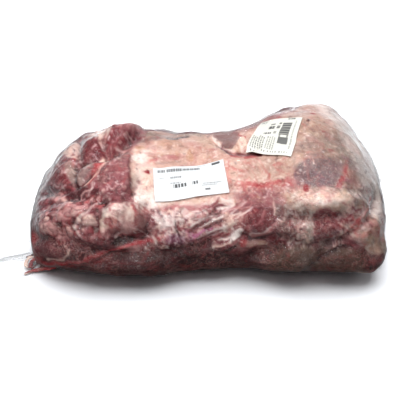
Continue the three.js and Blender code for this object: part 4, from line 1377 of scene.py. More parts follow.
    Patch((92, 242), (16, 6), MAROON, 0.5, 0.5, 0, 4),
    Patch((128, 228), (10, 6), PINK_FAT, 0.85, 0.5, 0, -8),
    Patch((143, 222), (5, 8), PINK_FAT, 0.5, 0.6, 0, 10),
    Patch((167, 223), (10, 7), WHITE_SKIN_AND_GLINT, 0.6, 0.5, 0, -10),
    Patch((228, 220), (6, 5), CREAM_FAT, 0.7, 0.5, 0, -30),
    Area("276,251 300,247 322,252 358,248 364,260 350,271 280,273 266,264", SHADED_BEIGE_SKIN, 0.7, 2.5),
    Strand("302,269 318,262 328,255 342,249", 1.3, HOLE_SHADE, 0.8, -1.2),
    Patch((326, 246), (7, 6), GREY_SKIN, 0.7, 0.5, 0.4, -30),
    Patch((352, 243), (8, 6), MAUVE_MUSCLE, 0.7, 0.5, 0.4, 10),
    Patch((366, 221), (9, 8), CREAM_FAT, 0.45, 0.6, 0, -30),
    Patch((369, 239), (8, 9), YELLOW_FAT, 0.6),
    Patch((370, 257), (8, 6), MAROON, 0.8, 0.5, 0, -20),
    Patch((374, 255), (3, 4), BLOOD, 0.7, 0.5, 0, 20),
    Scatter("350,186 374,184 370,206 354,214", (MAUVE_MUSCLE, GREY_SKIN, WHITE_SKIN_AND_GLINT, BRUISE), 60,
            (2, 6), (0.6, 1.1), 40, 60, 0.65, 46),
    Strand("376,196 369,206 362,216 354,226 347,233", 1.5, RED_FLESH, 0.95, 0.5),
    # painted shade and a painted highlight along the film's hem at the right front corner
    Strand("380,243 378,250 373,256 364,260", 1.5, HOLE_SHADE, 0.85),
    Strand("383,243 381,252 376,259 367,263 356,265", 1.2, WHITE_SKIN_AND_GLINT, 0.95, 0.4),
    Scatter("350,232 362,216 378,212 386,232 382,250 362,250", (CREAM_FAT, PINK_MUSCLE, GREY_SKIN,
            RED_FLESH, WHITE_SKIN_AND_GLINT, ORANGE_FAT), 110, (4, 12), (0.8, 1.8), -58, 40, 0.55, 50),
    # -- the fat ridge again, the grey front muscle and the dark ones
    Patch((320, 203), (27, 3.6), WHITE_SKIN_AND_GLINT, 0.55),
    Patch((322, 209), (25, 2.6), CREAM_FAT, 0.5),
    Patch((320, 195), (24, 6), CREAM_FAT, 0.45, 0.6),
    Scatter("288,192 345,186 350,207 300,210", (WHITE_SKIN_AND_GLINT, CREAM_FAT, GREY_SKIN, PINK_MUSCLE), 110,
            (3, 10), (0.6, 1.4), 4, 40, 0.5, 51),
    Strand("308,208 312,222 311,238 305,247", 3.4, GREY_SKIN, 0.6),
    Scatter("303,208 313,208 315,244 300,247", (WHITE_SKIN_AND_GLINT, CREAM_FAT, GREY_SKIN), 40, (3, 8),
            (0.6, 1.1), 84, 24, 0.4, 52),
    Area("315,212 324,208 336,212 341,220 341,232 330,238 318,238", MAROON, 0.65, 1.5),
    Scatter("315,212 340,212 341,236 318,240", (DARK_MUSCLE_AND_SHADE, GREY_SKIN, MAROON), 36, (2, 7), (0.5, 1),
            50, 50, 0.6, 53),
    Area("248,218 252,209 264,206 274,210 275,221 264,229 252,229", MAROON, 0.6, 1.5),
    Strand("256,224 262,219 265,213", 1.4, PINK_MUSCLE, 0.7),
    Patch((290, 256), (30, 9), SHADED_BEIGE_SKIN, 0.5, 0.6),
    # -- the back edge, the bruise, and red threads and specks
    Strand("70,141 84,134 100,130 120,127 146,130", 2.6, WHITE_SKIN_AND_GLINT, 0.4),
    Area("295,168 310,161 330,158 341,164 340,178 332,185 300,185", BRUISE, 0.5, 3),
    Patch((306, 187.5), (2.4, 3.8), BLOOD, 1, 0.4),
    Strand("347,166 346,173 341,179 337,187", 1.2, RED_STREAK, 0.6),
    Scatter("343,166 350,166 345,184 335,190 336,182", (RED_FLESH, BLOOD, RED_STREAK), 16, (2, 6),
            (0.5, 1), 110, 30, 0.5, 55),
    Scatter("234,180 262,181 290,178 290,187 234,187", (RED_FLESH, BLOOD, RED_STREAK), 60, (2, 7),
            (0.5, 0.9), 30, 70, 0.42, 56),
    Patch((142, 199), (9, 6), WHITE_SKIN_AND_GLINT, 0.5, 0.6),
    Patch((122, 217), (12, 7), CREAM_FAT, 0.4, 0.6),
    Patch((142, 219), (5, 6), PINK_FAT, 0.6, 0.6),
    Patch((239, 219), (6, 8), CREAM_FAT, 0.4, 0.6, 0, 30),
    # painted glints of the film and specks of painted shade all over the front, with specks of fat and
    # gristle
    Scatter("42,160 72,138 120,126 330,112 372,160 384,236 344,252 60,252", (WHITE_SKIN_AND_GLINT, SHADE,
            CREAM_FAT, WHITE_SKIN_AND_GLINT, GRISTLE), 520, (1.5, 4.5), (0.4, 0.75), 30, 80, 0.75, 54),
    Strand("44,262 60,263.5 76,261 92,257 108,252 124,248 140,245", 1.6, RED_FLESH, 0.95, 0.3),
    Strand("44,262 60,263.5 76,261 92,257 108,252 124,248 140,245", 1, BLOOD, 0.7),
    Strand("49,258 56,260 64,259 69,255 70,250", 1, CREAM_FAT, 0.9, 0.3),
    Strand("66,267 84,263 104,258 120,254", 0.9, RED_FLESH, 0.7),
    Area("70,257 110,253 250,252 262,258 262,290 70,290", SHADE, 0.6, 5),
    Scatter("296,206 312,207 314,244 292,246 288,226", (CREAM_FAT, WHITE_SKIN_AND_GLINT, GREY_SKIN), 60, (3, 9),
            (0.6, 1.2), 84, 24, 0.6, 44),
    Scatter("340,206 352,206 352,232 340,244 334,240", (CREAM_FAT, GREY_SKIN, WHITE_SKIN_AND_GLINT), 40, (3, 9),
            (0.6, 1.2), 70, 30, 0.55, 45),
)

HIDDEN_MARKS: tuple[HiddenPatch, ...] = (
    HiddenPatch((-120, 18), (48, 26), 8, MUSCLE, 0.8),
    HiddenPatch((-100, 34), (30, 9), -10, CREAM_FAT, 0.9),
    HiddenPatch((-38, 8), (42, 26), -12, MAUVE_MUSCLE, 0.8),
    HiddenPatch((-10, 28), (34, 10), 6, MEMBRANE, 0.9),
    HiddenPatch((-74, -6), (30, 8), 24, PINK_FAT, 0.8),
    HiddenPatch((70, 14), (54, 28), 10, MUSCLE, 0.8),
    HiddenPatch((40, -8), (44, 9), -8, CREAM_FAT, 0.8),
    HiddenPatch((112, 0), (26, 12), 30, MAUVE_MUSCLE, 0.8),
    HiddenPatch((90, 36), (40, 10), -6, PINK_FAT, 0.7),
    HiddenPatch((150, 30), (36, 30), -15, BEIGE_MEMBRANE, 0.9),
)


@dataclass
class Painter:
    """Lays marks over a set of points, each one over those before it."""

    view: PhotoView
    points: np.ndarray
    normals: np.ndarray
    shown: tuple[float, float] = (-0.04, 0.10)  # the facing from which the photo shows a point
    ragged_size: float = 13.0
    ragged_px: float = 2.4
    ragged_mm: float = 10.0
    hidden_soft: float = 0.3
    lobe_edge: tuple[float, float] = (0.02, 0.16)
    lobe_dome: tuple[float, float] = (0.0, 0.4)
    lobe_gap: tuple[float, float] = (0.13, 0.03)
    channels: np.ndarray = field(init=False)
    rise: np.ndarray = field(init=False)

    def __post_init__(self) -> None:
        """Works out where each point shows in the photo, and how plainly."""
        facing = self.view.facing(self.points, self.normals)
        self.seen = smoothstep(*self.shown, facing)
        jitter = np.stack([layered_noise(self.points, self.ragged_size, 3, seed)
                           for seed in (1, 2)], -1)
        self.px = self.view.pixels(self.points) + self.ragged_px * jitter
        self.mm = self.points + self.ragged_mm * np.concatenate([jitter, jitter[:, :1]], -1)
        self.channels = np.tile(np.array(MEMBRANE.look, float), (len(self.points), 1))
        self.rise = np.zeros(len(self.points))

    def lay(self, weight: np.ndarray, tissue: Tissue, rise: float = 0.0,
            where: np.ndarray | None = None) -> None:
        """Blends a tissue over the channels: new = old (1 - w) + value w, w being weight by cover.

        Args:
            weight: how much of the tissue each point gets, 0 to 1.
            tissue: what is laid down.
            rise: how far it lifts the surface, in millimetres.
            where: the numbers of the points that the weights are for; all of them if left out.
        """
        rows = slice(None) if where is None else where
        change = np.array(tissue.look) - self.channels[rows]
        self.channels[rows] += change * (weight * tissue.cover)[:, None]
        self.rise[rows] += rise * weight

    def fields(self) -> dict[str, np.ndarray]:
        """The channels as the piece's attributes, with the screen colours turned into light."""
        light = (np.clip(self.channels[:, :3], 0, 255) / 255.0) ** SCREEN_GAMMA
        return dict(zip(CHANNELS, [*light.T, self.channels[:, 3]]))

    def oval(self, away: np.ndarray, half: tuple[float, float], turn: float, soft: float) -> np.ndarray:
        """1 inside a turned oval and 0 outside it, with a soft edge."""
        c, s = math.cos(math.radians(turn)), math.sin(math.radians(turn))
        along = (away[:, 0] * c + away[:, 1] * s) / half[0]
        across = (away[:, 1] * c - away[:, 0] * s) / half[1]
        return smoothstep(1.0 + soft, 1.0 - soft, np.hypot(along, across))

    def near(self, corners: np.ndarray, margin: float) -> np.ndarray:
        """The numbers of the points that show within this margin of the corners' box."""
        low, high = corners.min(0) - margin, corners.max(0) + margin
        inside = ((self.px > low) & (self.px < high)).all(-1) & (self.seen > 0)
        return np.flatnonzero(inside)

    def within(self, outline: np.ndarray, soft: float, where: np.ndarray) -> np.ndarray:
        """1 inside a closed outline and 0 outside it, changing over the soft distance."""
        px = self.px[where]
        gap = distance_to_path(px, np.concatenate([outline, outline[:1]]))
        gap = np.where(inside_outline(px, outline), -gap, gap)
        return smoothstep(soft, -soft, gap)

    def paint(self, mark: Area | Patch | Strand | Scatter | Lobes) -> None:
        """Lays one mark of the photo's own side.

        Args:
            mark: the area, patch, strand, scatter or lobes.
        """
        if isinstance(mark, Scatter):
            for line in mark.lines():
                self.paint_line(*line)
        elif isinstance(mark, Lobes):
            self.paint_lobes(mark)
        elif isinstance(mark, Strand):
            self.paint_line(pixels(mark.through), mark.wide, mark.tissue, mark.strength, mark.rise)
        else:
            if isinstance(mark, Area):
                outline = pixels(mark.outline)
                where = self.near(outline, mark.soft)
                weight = self.within(outline, mark.soft, where)
            else:
                where = self.near(np.array([mark.at], float), 1.6 * max(mark.half))
                weight = self.oval(self.px[where] - mark.at, mark.half, mark.turn, mark.soft)
            self.lay(weight * mark.strength * self.seen[where], mark.tissue, mark.rise, where)

    def paint_line(self, path: np.ndarray, wide: float, tissue: Tissue, strength: float,
                   rise: float = 0.0) -> None:
        """Lays a line of tissue, e^(-q^2) strong where q is the distance over the half-width.

        Args:
            path: rows of photo pixels.
            wide: its half-width in pixels.
            tissue: what it is made of.
            strength: how much of the tissue its middle gets.
            rise: how far it lifts the surface, in millimetres.
        """
        where = self.near(path, 3.0 * wide)
        weight = np.exp(-((distance_to_path(self.px[where], path) / wide) ** 2))
        self.lay(weight * strength * self.seen[where], tissue, rise, where)

    def paint_lobes(self, mark: Lobes) -> None:
        """Lays lobes: each cell of a pattern gets a tissue, and the gaps between them another.

        Args:
            mark: the lobes.
        """
        outline = pixels(mark.outline)
        where = self.near(outline, mark.soft)
        weight = self.within(outline, mark.soft, where) * mark.strength * self.seen[where]
        edge, kind = cell_pattern(self.points[where], mark.size, mark.seed)
        for number, tissue in enumerate(mark.tissues):
            mine = np.floor(kind * len(mark.tissues)) == number
            self.lay(weight * mine * smoothstep(*self.lobe_edge, edge), tissue, 0.0, where)
        self.rise[where] += weight * mark.depth * smoothstep(*self.lobe_dome, edge)
        self.lay(weight * smoothstep(*self.lobe_gap, edge), mark.gap_tissue, 0.0, where)

    def paint_hidden(self, mark: HiddenPatch, form: ShoulderForm) -> None:
        """Lays one mark of the sides that the photo doesn't show.

        Args:
            mark: the patch.
            form: the form that its place is on.
        """
        centre, lengthways, sideways, normal = form.axes(mark.at)
        away = self.mm - centre
        flat = np.stack([away @ lengthways, -(away @ sideways)], -1)
        near = smoothstep(0.9, 0.5, np.abs(away @ normal) / max(mark.half))
        weight = self.oval(flat, mark.half, mark.turn, self.hidden_soft) * near
        self.lay(weight * mark.strength * (1 - self.seen), mark.tissue)


class Fleck(Enum):
    """The colours of what is too fine to paint, as red, green and blue on screen."""

    GLEAM = (252, 228, 220)
    PINK = (186, 84, 86)
    DULL_FAT = (170, 146, 126)
    MARBLING = (222, 168, 158)
    WEB = (220, 182, 172)
    VEIN = (178, 72, 72)
    SPECK = (250, 240, 236)


def tissue_group() -> bpy.types.NodeTree:
    """The shared effect that turns the painted tissue into a colour, a roughness and a height.

    The painted colour is deepened in the hollows of noise drawn out like fibres and paled on its
    tops, and is then crossed by marbling, a web and veins where other noises pass their middle.

    Returns:
        The node group.
    """
    inputs = {"Vector": 0.0} | {name.capitalize(): 0.0 for name in CHANNELS}
    outputs = {"Color": "NodeSocketColor", "Roughness": "NodeSocketFloat",
               "Height": "NodeSocketFloat"}
    group, tree, given, result = new_group("tissue", inputs, outputs)
    at = given.outputs["Vector"]
    red, green, blue, grain = (given.outputs[name.capitalize()] for name in CHANNELS)

    def spread(value: bpy.types.NodeSocket, by: float) -> bpy.types.NodeSocket:
        """A noise value centred on 0 and made this many times larger."""
        return tree.math("MULTIPLY", tree.math("SUBTRACT", value, 0.5), by)

    def around(value: bpy.types.NodeSocket, *parts: bpy.types.NodeSocket) -> bpy.types.NodeSocket:
        """The value with each part added."""
        for part in parts:
            value = tree.math("ADD", value, part)
        return value

    def line(value: bpy.types.NodeSocket, centre: float, wide: float) -> bpy.types.NodeSocket:
        """1 where a noise value crosses the centre, falling to 0 this far from it."""
        gap = tree.math("ABSOLUTE", tree.math("SUBTRACT", value, centre))
        return tree.ramp(gap, 0.0, wide, 1.0, 0.0)

    def times(*values: object) -> bpy.types.NodeSocket:
        """The product of two values."""
        return tree.math("MULTIPLY", *values)

    painted = tree.node("CombineColor", {"Red": red, "Green": green, "Blue": blue}).outputs[0]
    broad = tree.noise(at, 70.0, 4.0, 0.62, 0.4)
    other = tree.noise(at, 130.0, 4.0, 0.65, 0.8)
    fine = tree.noise(at, 260.0, 4.0, 0.7)
    speck = tree.noise(at, 620.0, 2.0, 0.6)
    along = tree.node("Mapping", {"Vector": at, "Rotation": (0.2, 0.1, 0.5), "Scale": (0.2, 1.0, 1.0)})
    fibre = tree.noise(along.outputs[0], 480.0, 3.0, 0.65, 0.5)
    winding = tree.noise(at, 80.0, 4.0, 0.6, 1.5)
    patchy = tree.noise(at, 24.0, 2.0, 0.5)
    uneven = around(times(spread(fibre, 1.7), grain), spread(fine, 1.2), spread(broad, 1.6))
    smooth = tree.math("SUBTRACT", 1.0, times(grain, 0.86))
    deeper = tree.mix(1.0, painted, (0.46, 0.28, 0.3, 1.0), "MULTIPLY")
    colour = tree.mix(tree.ramp(uneven, 0.04, -0.75), painted, deeper)
    flecks = (
        (Fleck.GLEAM, tree.ramp(uneven, 0.08, 0.95), smooth),
        (Fleck.PINK, tree.ramp(spread(other, 1.0), 0.03, 0.2, 0.0, 0.3), grain),
        (Fleck.DULL_FAT, tree.ramp(spread(other, 1.0), -0.04, -0.22, 0.0, 0.4), smooth),
        (Fleck.MARBLING, times(line(winding, 0.5, 0.03), tree.ramp(patchy, 0.42, 0.6, 0.0, 0.4)),
         grain),
        (Fleck.WEB, times(line(other, 0.5, 0.018), tree.ramp(broad, 0.42, 0.6, 0.02, 0.38)), grain),
        (Fleck.VEIN, line(winding, 0.53, 0.025), tree.ramp(patchy, 0.4, 0.58, 0.02, 0.36)),
        (Fleck.SPECK, tree.ramp(speck, 0.57, 0.7, 0.0, 0.4), smooth),
    )
    for fleck, amount, share in flecks:
        colour = tree.mix(times(amount, share), colour, linear(*fleck.value))
    made = {"Color": colour, "Roughness": tree.ramp(fine, 0.3, 0.7, 0.3, 0.5),
            "Height": around(times(fine, 0.9), times(fibre, 0.5), times(other, 0.6))}
    for name, socket in made.items():
        tree.feed(result.inputs[name], socket)
    return group


# ---- Meat and film -------------------------------------------------------------------------------
@dataclass
class Skin:
    """The grid of places that the meat and the film share."""

    form: ShoulderForm
    rings: int = 384
    back_steps: int = 26
    upper_steps: int = 214
    lower_steps: int = 16
    finer_from: float = 38.0
    top_line: float = 120.0
    measures: int = 6000

    def __post_init__(self) -> None:
        """Works out the grid's places, plain points, directions and relief."""
        self.x = self.ring_places()
        self.degrees = self.column_places()
        across, round_ = np.meshgrid(self.x, self.degrees, indexing="ij")
        self.places = np.stack([across.ravel(), round_.ravel()], -1)
        self.plain = self.form.plain(*self.places.T)
        self.normals = self.form.normal(*self.places.T)
        fills = sum(self.form.bulge_height(fill, self.plain) for fill in CORNER_FILLS)
        clear = smoothstep(0.0, 0.5 * self.form.clear_of_table, self.plain[:, 2])
        self.relief = self.form.relief(self.plain) + fills * clear

    @property
    def shape(self) -> tuple[int, int]:
        """Rows and columns of the grid."""
        return len(self.x), len(self.degrees)

    def ring_places(self) -> np.ndarray:
        """Places along the shoulder at even lengths of arc on its top line."""
        form = self.form
        fine = form.half_length * np.sin(np.linspace(-np.pi / 2, np.pi / 2, self.measures + 1))
        length = arc_length(form.plain(fine, np.full_like(fine, self.top_line)))
        return np.interp(np.linspace(0.0, length[-1], self.rings + 1)[1:-1], length, fine)

    def column_places(self) -> np.ndarray:
        """Degrees round the section at even lengths of arc on the middle section."""
        form = self.form
        fine = np.linspace(form.upper_from, form.upper_from + 360.0, 7201)
        length = arc_length(form.plain(np.zeros_like(fine), fine))
        shown = np.interp(self.finer_from, fine, length)
        turn = np.interp(form.upper_to, fine, length)
        back = np.linspace(0.0, shown, self.back_steps, endpoint=False)
        upper = np.linspace(shown, turn, self.upper_steps, endpoint=False)
        lower = np.linspace(turn, length[-1], self.lower_steps, endpoint=False)
        return np.interp(np.concatenate([back, upper, lower]), length, fine)

    def soften(self, values: np.ndarray, times: int) -> np.ndarray:
        """Averages each value with its four neighbours on the grid, again and again.

        Args:
            values: one value for each place.
            times: how many times.

        Returns:
            The softened values.
        """
        grid = values.reshape(self.shape).copy()
        for _ in range(times):
            ends = np.pad(grid, ((1, 1), (0, 0)), mode="edge")
            grid = (2 * grid + ends[:-2] + ends[2:] + np.roll(grid, 1, 1) + np.roll(grid, -1, 1)) / 6
        return grid.ravel()

    def closed(self, name: str, lift: np.ndarray, tip_lift: float, floor: float,
               fields: dict[str, np.ndarray]) -> bpy.types.Object:
        """A closed mesh of the grid lifted along its normals, with a point at each tip.

        Args:
            name: the object's name.
            lift: how far each place moves outwards, in millimetres.
            tip_lift: how far the tips move outwards along x.
            floor: no point goes lower than this.
            fields: the attributes, one number for each place.

        Returns:
            The new object.
        """
        columns = self.shape[1]
        form = self.form
        points = self.plain + self.normals * lift[:, None]
        tips = form.plain(np.array([-form.half_length, form.half_length]), np.zeros(2))
        tips[:, 0] += [-tip_lift, tip_lift]
        points = np.concatenate([points, tips])
        points[:, 2] = np.maximum(points[:, 2], floor)
        filled = {
            key: np.concatenate([v, [v[:columns].mean(), v[-columns:].mean()]])
            for key, v in fields.items()
        }
        return make_object(name, form.in_frame(points), grid_quads(*self.shape, wrap=True),
                           end_fans(*self.shape), filled)


@dataclass(frozen=True)
class Drift:
    """Tissue laid in drifts: none where layered noise is below low, and all where it is above high."""

    tissue: Tissue
    strength: float
    size: float
    layers: int
    seed: int
    low: float
    high: float
    rise: float = 0.0

    def weight(self, points: np.ndarray) -> np.ndarray:
        """How much of the tissue points get."""
        heights = layered_noise(points, self.size, self.layers, self.seed)
        return self.strength * smoothstep(self.low, self.high, heights)


GROUND_DRIFTS = (
    Drift(MEMBRANE, 0.9, 60.0, 4, 31, 0.05, 0.35, 0.3),
    Drift(BRUISE, 0.7, 34.0, 3, 47, 0.1, 0.35),
)
THREADS = tuple(
    Drift(tissue, strength, 6.0, 3, seed, 0.12, 0.3, 0.3)
    for seed, tissue, strength in (
        (61, PINK_FAT, 0.4), (62, DARK_MUSCLE_AND_SHADE, 0.5), (63, CREAM_FAT, 0.4),
        (64, RED_FLESH, 0.3), (65, GREY_SKIN, 0.25),
    )
)


@dataclass
class Meat:
    """The veal shoulder itself."""

    skin: Skin
    view: PhotoView
    under_film: float = 1.3
    floor: float = 0.7
    lumps_mm: float = 1.6
    lump_size: float = 17.0
    ripples_mm: float = 0.8
    ripple_size: float = 5.0
    muscle_size: float = 62.0
    thread_stretch: Point = (0.3, 1.0, 1.0)
    # painted shade in the hollows of the relief and a painted highlight on its crests
    cavity_softening: int = 12
    cavity_mm: float = 0.9
    hollow_red_shade: float = 0.3
    shade: float = 0.6
    crest_highlight: float = 0.16
    bump_strength: float = 0.8
    bump_deep: float = 0.0012
    shine: float = 0.3

    def relief(self, painter: Painter) -> np.ndarray:
        """The solids' relief, what the marks add, and two sizes of uneven flesh.

        Args:
            painter: the marks as laid.

        Returns:
            The height over the plain form, in millimetres.
        """
        points = self.skin.plain
        uneven = self.lumps_mm * layered_noise(points, self.lump_size, 2, 5)
        ripples = self.ripples_mm * layered_noise(points, self.ripple_size, 2, 9)
        smooth = 0.5 + 0.5 * painter.channels[:, CHANNELS.index("grain")]
        clear = smoothstep(0.0, self.skin.form.clear_of_table, points[:, 2])
        return self.skin.relief + (painter.rise + (uneven + ripples) * smooth) * clear

    def shade_hollows(self, painter: Painter, relief: np.ndarray) -> None:
        """Painted shade of dark red and near black where the flesh lies lower than its surroundings,
        and a painted highlight of pale fat on its crests.

        Args:
            painter: the marks as laid, over which they are laid in turn.
            relief: the flesh's height over the plain form.
        """
        low = (self.skin.soften(relief, self.cavity_softening) - relief) / self.cavity_mm
        deep = smoothstep(0.15, 1.4, low) * (0.35 + 0.65 * painter.seen)
        lean = 0.5 + 0.5 * painter.channels[:, CHANNELS.index("grain")]
        painter.lay(self.hollow_red_shade * deep, MAROON)
        painter.lay(self.shade * deep * lean, HOLE_SHADE)
        painter.lay(self.crest_highlight * smoothstep(0.2, 1.2, -low), CREAM_FAT)

    def painter(self) -> Painter:
        """All marks laid over the skin: first a ground of mixed tissue, then the marks."""
        skin = self.skin
        painter = Painter(self.view, skin.plain, skin.normals)
        self.lay_ground(painter)
        for mark in HIDDEN_MARKS:
            painter.paint_hidden(mark, skin.form)
        self.lay_threads(painter)
        for mark in MARKS:
            painter.paint(mark)
        return painter

    def lay_ground(self, painter: Painter) -> None:
        """Muscles of several reds, the fat in the seams between them, and membrane over some of it.

        Args:
            painter: the bare painter.
        """
        muscles = (MUSCLE, MAUVE_MUSCLE, MAROON, MUSCLE, PINK_MUSCLE)
        painter.lay(np.ones(len(painter.points)), MUSCLE)
        edge, kind = cell_pattern(painter.mm, self.muscle_size, 17)
        for number, tissue in enumerate(muscles):
            painter.lay(0.75 * (np.floor(kind * len(muscles)) == number), tissue)
        painter.lay(0.9 * smoothstep(0.11, 0.03, edge), CREAM_FAT, 0.4)
        for drift in GROUND_DRIFTS:
            painter.lay(drift.weight(painter.mm), drift.tissue, drift.rise)

    def lay_threads(self, painter: Painter) -> None:
        """Drawn-out threads of fat, sinew and juice over what the photo doesn't show.

        Args:
            painter: the painter after the hidden marks.
        """
        drawn = painter.points * self.thread_stretch
        for thread in THREADS:
            painter.lay(thread.weight(drawn) * (1.0 - painter.seen), thread.tissue, thread.rise)

    def build(self) -> tuple[bpy.types.Object, np.ndarray]:
        """Makes the meat.

        Returns:
            The object, and its relief for the film to lie over.
        """
        painter = self.painter()
        relief = self.relief(painter)
        self.shade_hollows(painter, relief)
        meat = self.skin.closed("veal_shoulder", relief - self.under_film, -self.under_film,
                                self.floor, painter.fields())
        meat.data.materials.append(self.material())
        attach(meat, ROOT)
        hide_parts("vacuum_bag")
        log.info("veal_shoulder: %d faces", len(meat.data.polygons))
        return meat, relief

    def material(self) -> bpy.types.Material:
        """Wet raw veal: the tissue colours under a thin wet coat."""
        material, tree = new_material("raw veal")
        given = {"Vector": tree.place()} | {name.capitalize(): tree.field(name) for name in CHANNELS}
        tissue = tree.node("Group", given, node_tree=bpy.data.node_groups["tissue"])
        bump = tree.node("Bump", {"Strength": self.bump_strength, "Distance": self.bump_deep,
                                  "Height": tissue.outputs["Height"]})
        shader = tree.node("BsdfPrincipled", {
            "Base Color": tissue.outputs["Color"],
            "Roughness": tissue.outputs["Roughness"],
            "Specular IOR Level": self.shine,
            "Normal": bump.outputs[0],
        })
        tree.node("OutputMaterial", {"Surface": shader.outputs[0]})
        return material


@dataclass(frozen=True)
class Puff:
    """Where the film stands off the meat: a line in photo pixels, its half-width there and the lift."""

    through: str
    wide: float
    lift: float


PUFFS = (
    Puff("38,222 42,190 51,166 63,146 84,133", 8.0, 3.6),
    Puff("150,128 185,130 222,128 262,121 292,106", 7.0, 3.4),
    Puff("330,104 352,122 370,150 383,185 386,225", 6.0, 2.0),
)


@dataclass
class Film:
    """The clear film drawn tight over the meat."""

    skin: Skin
    view: PhotoView
    gap: float = 0.45
    least_gap: float = 0.7
    bridging: int = 14
    bunched_at: Pixel = (198.0, 231.0)
    bunched_half: tuple[float, float] = (46.0, 24.0)
    wrinkle_turn: float = math.radians(62.0)
    wrinkle_stretch: float = 0.22
    wrinkle_px: float = 6.0
    wrinkle_narrowing: float = 2.4
    wrinkle_mm: float = 1.5
    puff_ripple: float = 0.4
    ripple_size: float = 18.0
    full_puff: float = 3.0

    def wrinkles(self) -> np.ndarray:
        """Height of the film's wrinkles where it is bunched in front of the middle.

        They are the squared ridges of a noise drawn out along them, inside an oval of the photo.
        """
        px = self.view.pixels(self.skin.plain)
        seen = smoothstep(0.0, 0.12, self.view.facing(self.skin.plain, self.skin.normals))
        off = (px - self.bunched_at) / self.bunched_half
        zone = smoothstep(1.2, 0.6, np.hypot(off[:, 0], off[:, 1]))
        c, s = math.cos(self.wrinkle_turn), math.sin(self.wrinkle_turn)
        along, across = px[:, 0] * c + px[:, 1] * s, px[:, 1] * c - px[:, 0] * s
        drawn = np.stack([along * self.wrinkle_stretch, across], -1)
        ridged = 1.0 - np.abs(layered_noise(drawn, self.wrinkle_px, 2, 71)) * self.wrinkle_narrowing
        return self.wrinkle_mm * zone * seen * np.clip(ridged, 0.0, 1.0) ** 2

    def puffed(self) -> np.ndarray:
        """Height of the film where it bridges a dip or stands off an edge, rippled like loose film."""
        px = self.view.pixels(self.skin.plain)
        facing = self.view.facing(self.skin.plain, self.skin.normals)
        near = smoothstep(-0.6, -0.1, facing)
        ripples = 1.0 + self.puff_ripple * layered_noise(self.skin.plain, self.ripple_size, 2, 55)
        lift = np.zeros(len(px))
        for puff in PUFFS:
            away = distance_to_path(px, pixels(puff.through)) / puff.wide
            lift = np.maximum(lift, puff.lift * np.exp(-(away**2)))
        return lift * near * ripples

    def build(self, meat_relief: np.ndarray) -> bpy.types.Object:
        """Makes the film: softened meat relief, lifted until it clears the meat.

        Args:
            meat_relief: the meat's height over the plain form.

        Returns:
            The film over the filled part.
        """
        skin = self.skin
        bridged = np.maximum(skin.soften(meat_relief, self.bridging), meat_relief)
        lift = skin.soften(bridged, 3) - Meat.under_film + self.gap
        lift = np.maximum(lift, meat_relief - Meat.under_film + self.gap * self.least_gap)
        puffed = self.puffed()
        lift = lift + self.wrinkles() + puffed
        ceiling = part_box("vacuum_bag")[1].z / MM
        over = np.maximum(0.0, skin.plain[:, 2] + skin.normals[:, 2] * lift - ceiling)
        lift = lift - over / np.maximum(skin.normals[:, 2], 0.3)
        loose = np.clip(puffed / self.full_puff, 0.0, 1.0)
        film = skin.closed("bag_film", lift, 0.0, 0.0, {"loose": loose})
        film.data.materials.append(film_material("clear film", FilmFinish()))
        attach(film, ROOT)
        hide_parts("vacuum_bag")
        log.info("bag_film: %d faces", len(film.data.polygons))
        return film


@dataclass(frozen=True)
class FilmFinish:
    """How much of the film shows: its shine, an even veil and a patchy one, how matt, and its grey."""

    shine: float = 0.9
    haze: float = 0.0
    patchy: float = 0.03
    roughness: float = 0.07
    mirror: float = 0.85
    grey: tuple[int, int, int] = (236, 240, 244)
    crease_scale: float = 170.0
    patch_scale: float = 38.0
    refraction: float = 1.4


def film_material(name: str, finish: FilmFinish) -> bpy.types.Material:
    """Clear film: light goes straight through it, apart from its shine and a faint white veil.

    Args:
        name: the material's name.
        finish: the film's clearness and shine.

    Returns:
        The material.
    """
    material, tree = new_material(name)
    at = tree.place()
    drawn = tree.node("Mapping", {"Vector": at, "Rotation": (0.3, 0.2, 1.1), "Scale": (0.18, 1.0, 1.0)})
    creases = tree.noise(drawn.outputs[0], finish.crease_scale, 3.0, 0.55, 0.6)
    patches = tree.noise(at, finish.patch_scale, 3.0, 0.55)
    bump = tree.node("Bump", {"Strength": 0.9, "Distance": 0.002, "Height": creases})
    gentle = tree.node("Bump", {"Strength": 0.4, "Distance": 0.002, "Height": creases})
    fresnel = tree.node("Fresnel", {"IOR": finish.refraction, "Normal": gentle.outputs[0]}).outputs[0]
    streaks = tree.math("MULTIPLY", tree.ramp(patches, 0.45, 0.7),
                        tree.ramp(creases, 0.4, 0.65, 0.3, 1.0))
    veil = tree.math("MULTIPLY", streaks, finish.patchy)
    amount = tree.math("ADD", tree.ramp(fresnel, 0.018, 0.8, 0.0, finish.shine), finish.haze)
    loose = tree.math("MULTIPLY", tree.field("loose"), tree.ramp(creases, 0.35, 0.65, 0.03, 0.2))
    amount = tree.math("ADD", tree.math("ADD", amount, veil), loose)
    thick = tree.math("SUBTRACT", 1.0, tree.field("thinned"))
    amount = tree.math("MULTIPLY", amount, thick, clamp=True)
    clear = tree.node("BsdfTransparent")
    gloss = tree.node("BsdfPrincipled", {
        "Base Color": linear(*finish.grey), "Metallic": finish.mirror,
        "Roughness": finish.roughness, "Normal": bump.outputs[0],
    })
    mixed = tree.node("MixShader", {0: amount, 1: clear.outputs[0], 2: gloss.outputs[0]})
    tree.node("OutputMaterial", {"Surface": mixed.outputs[0]})
    return material


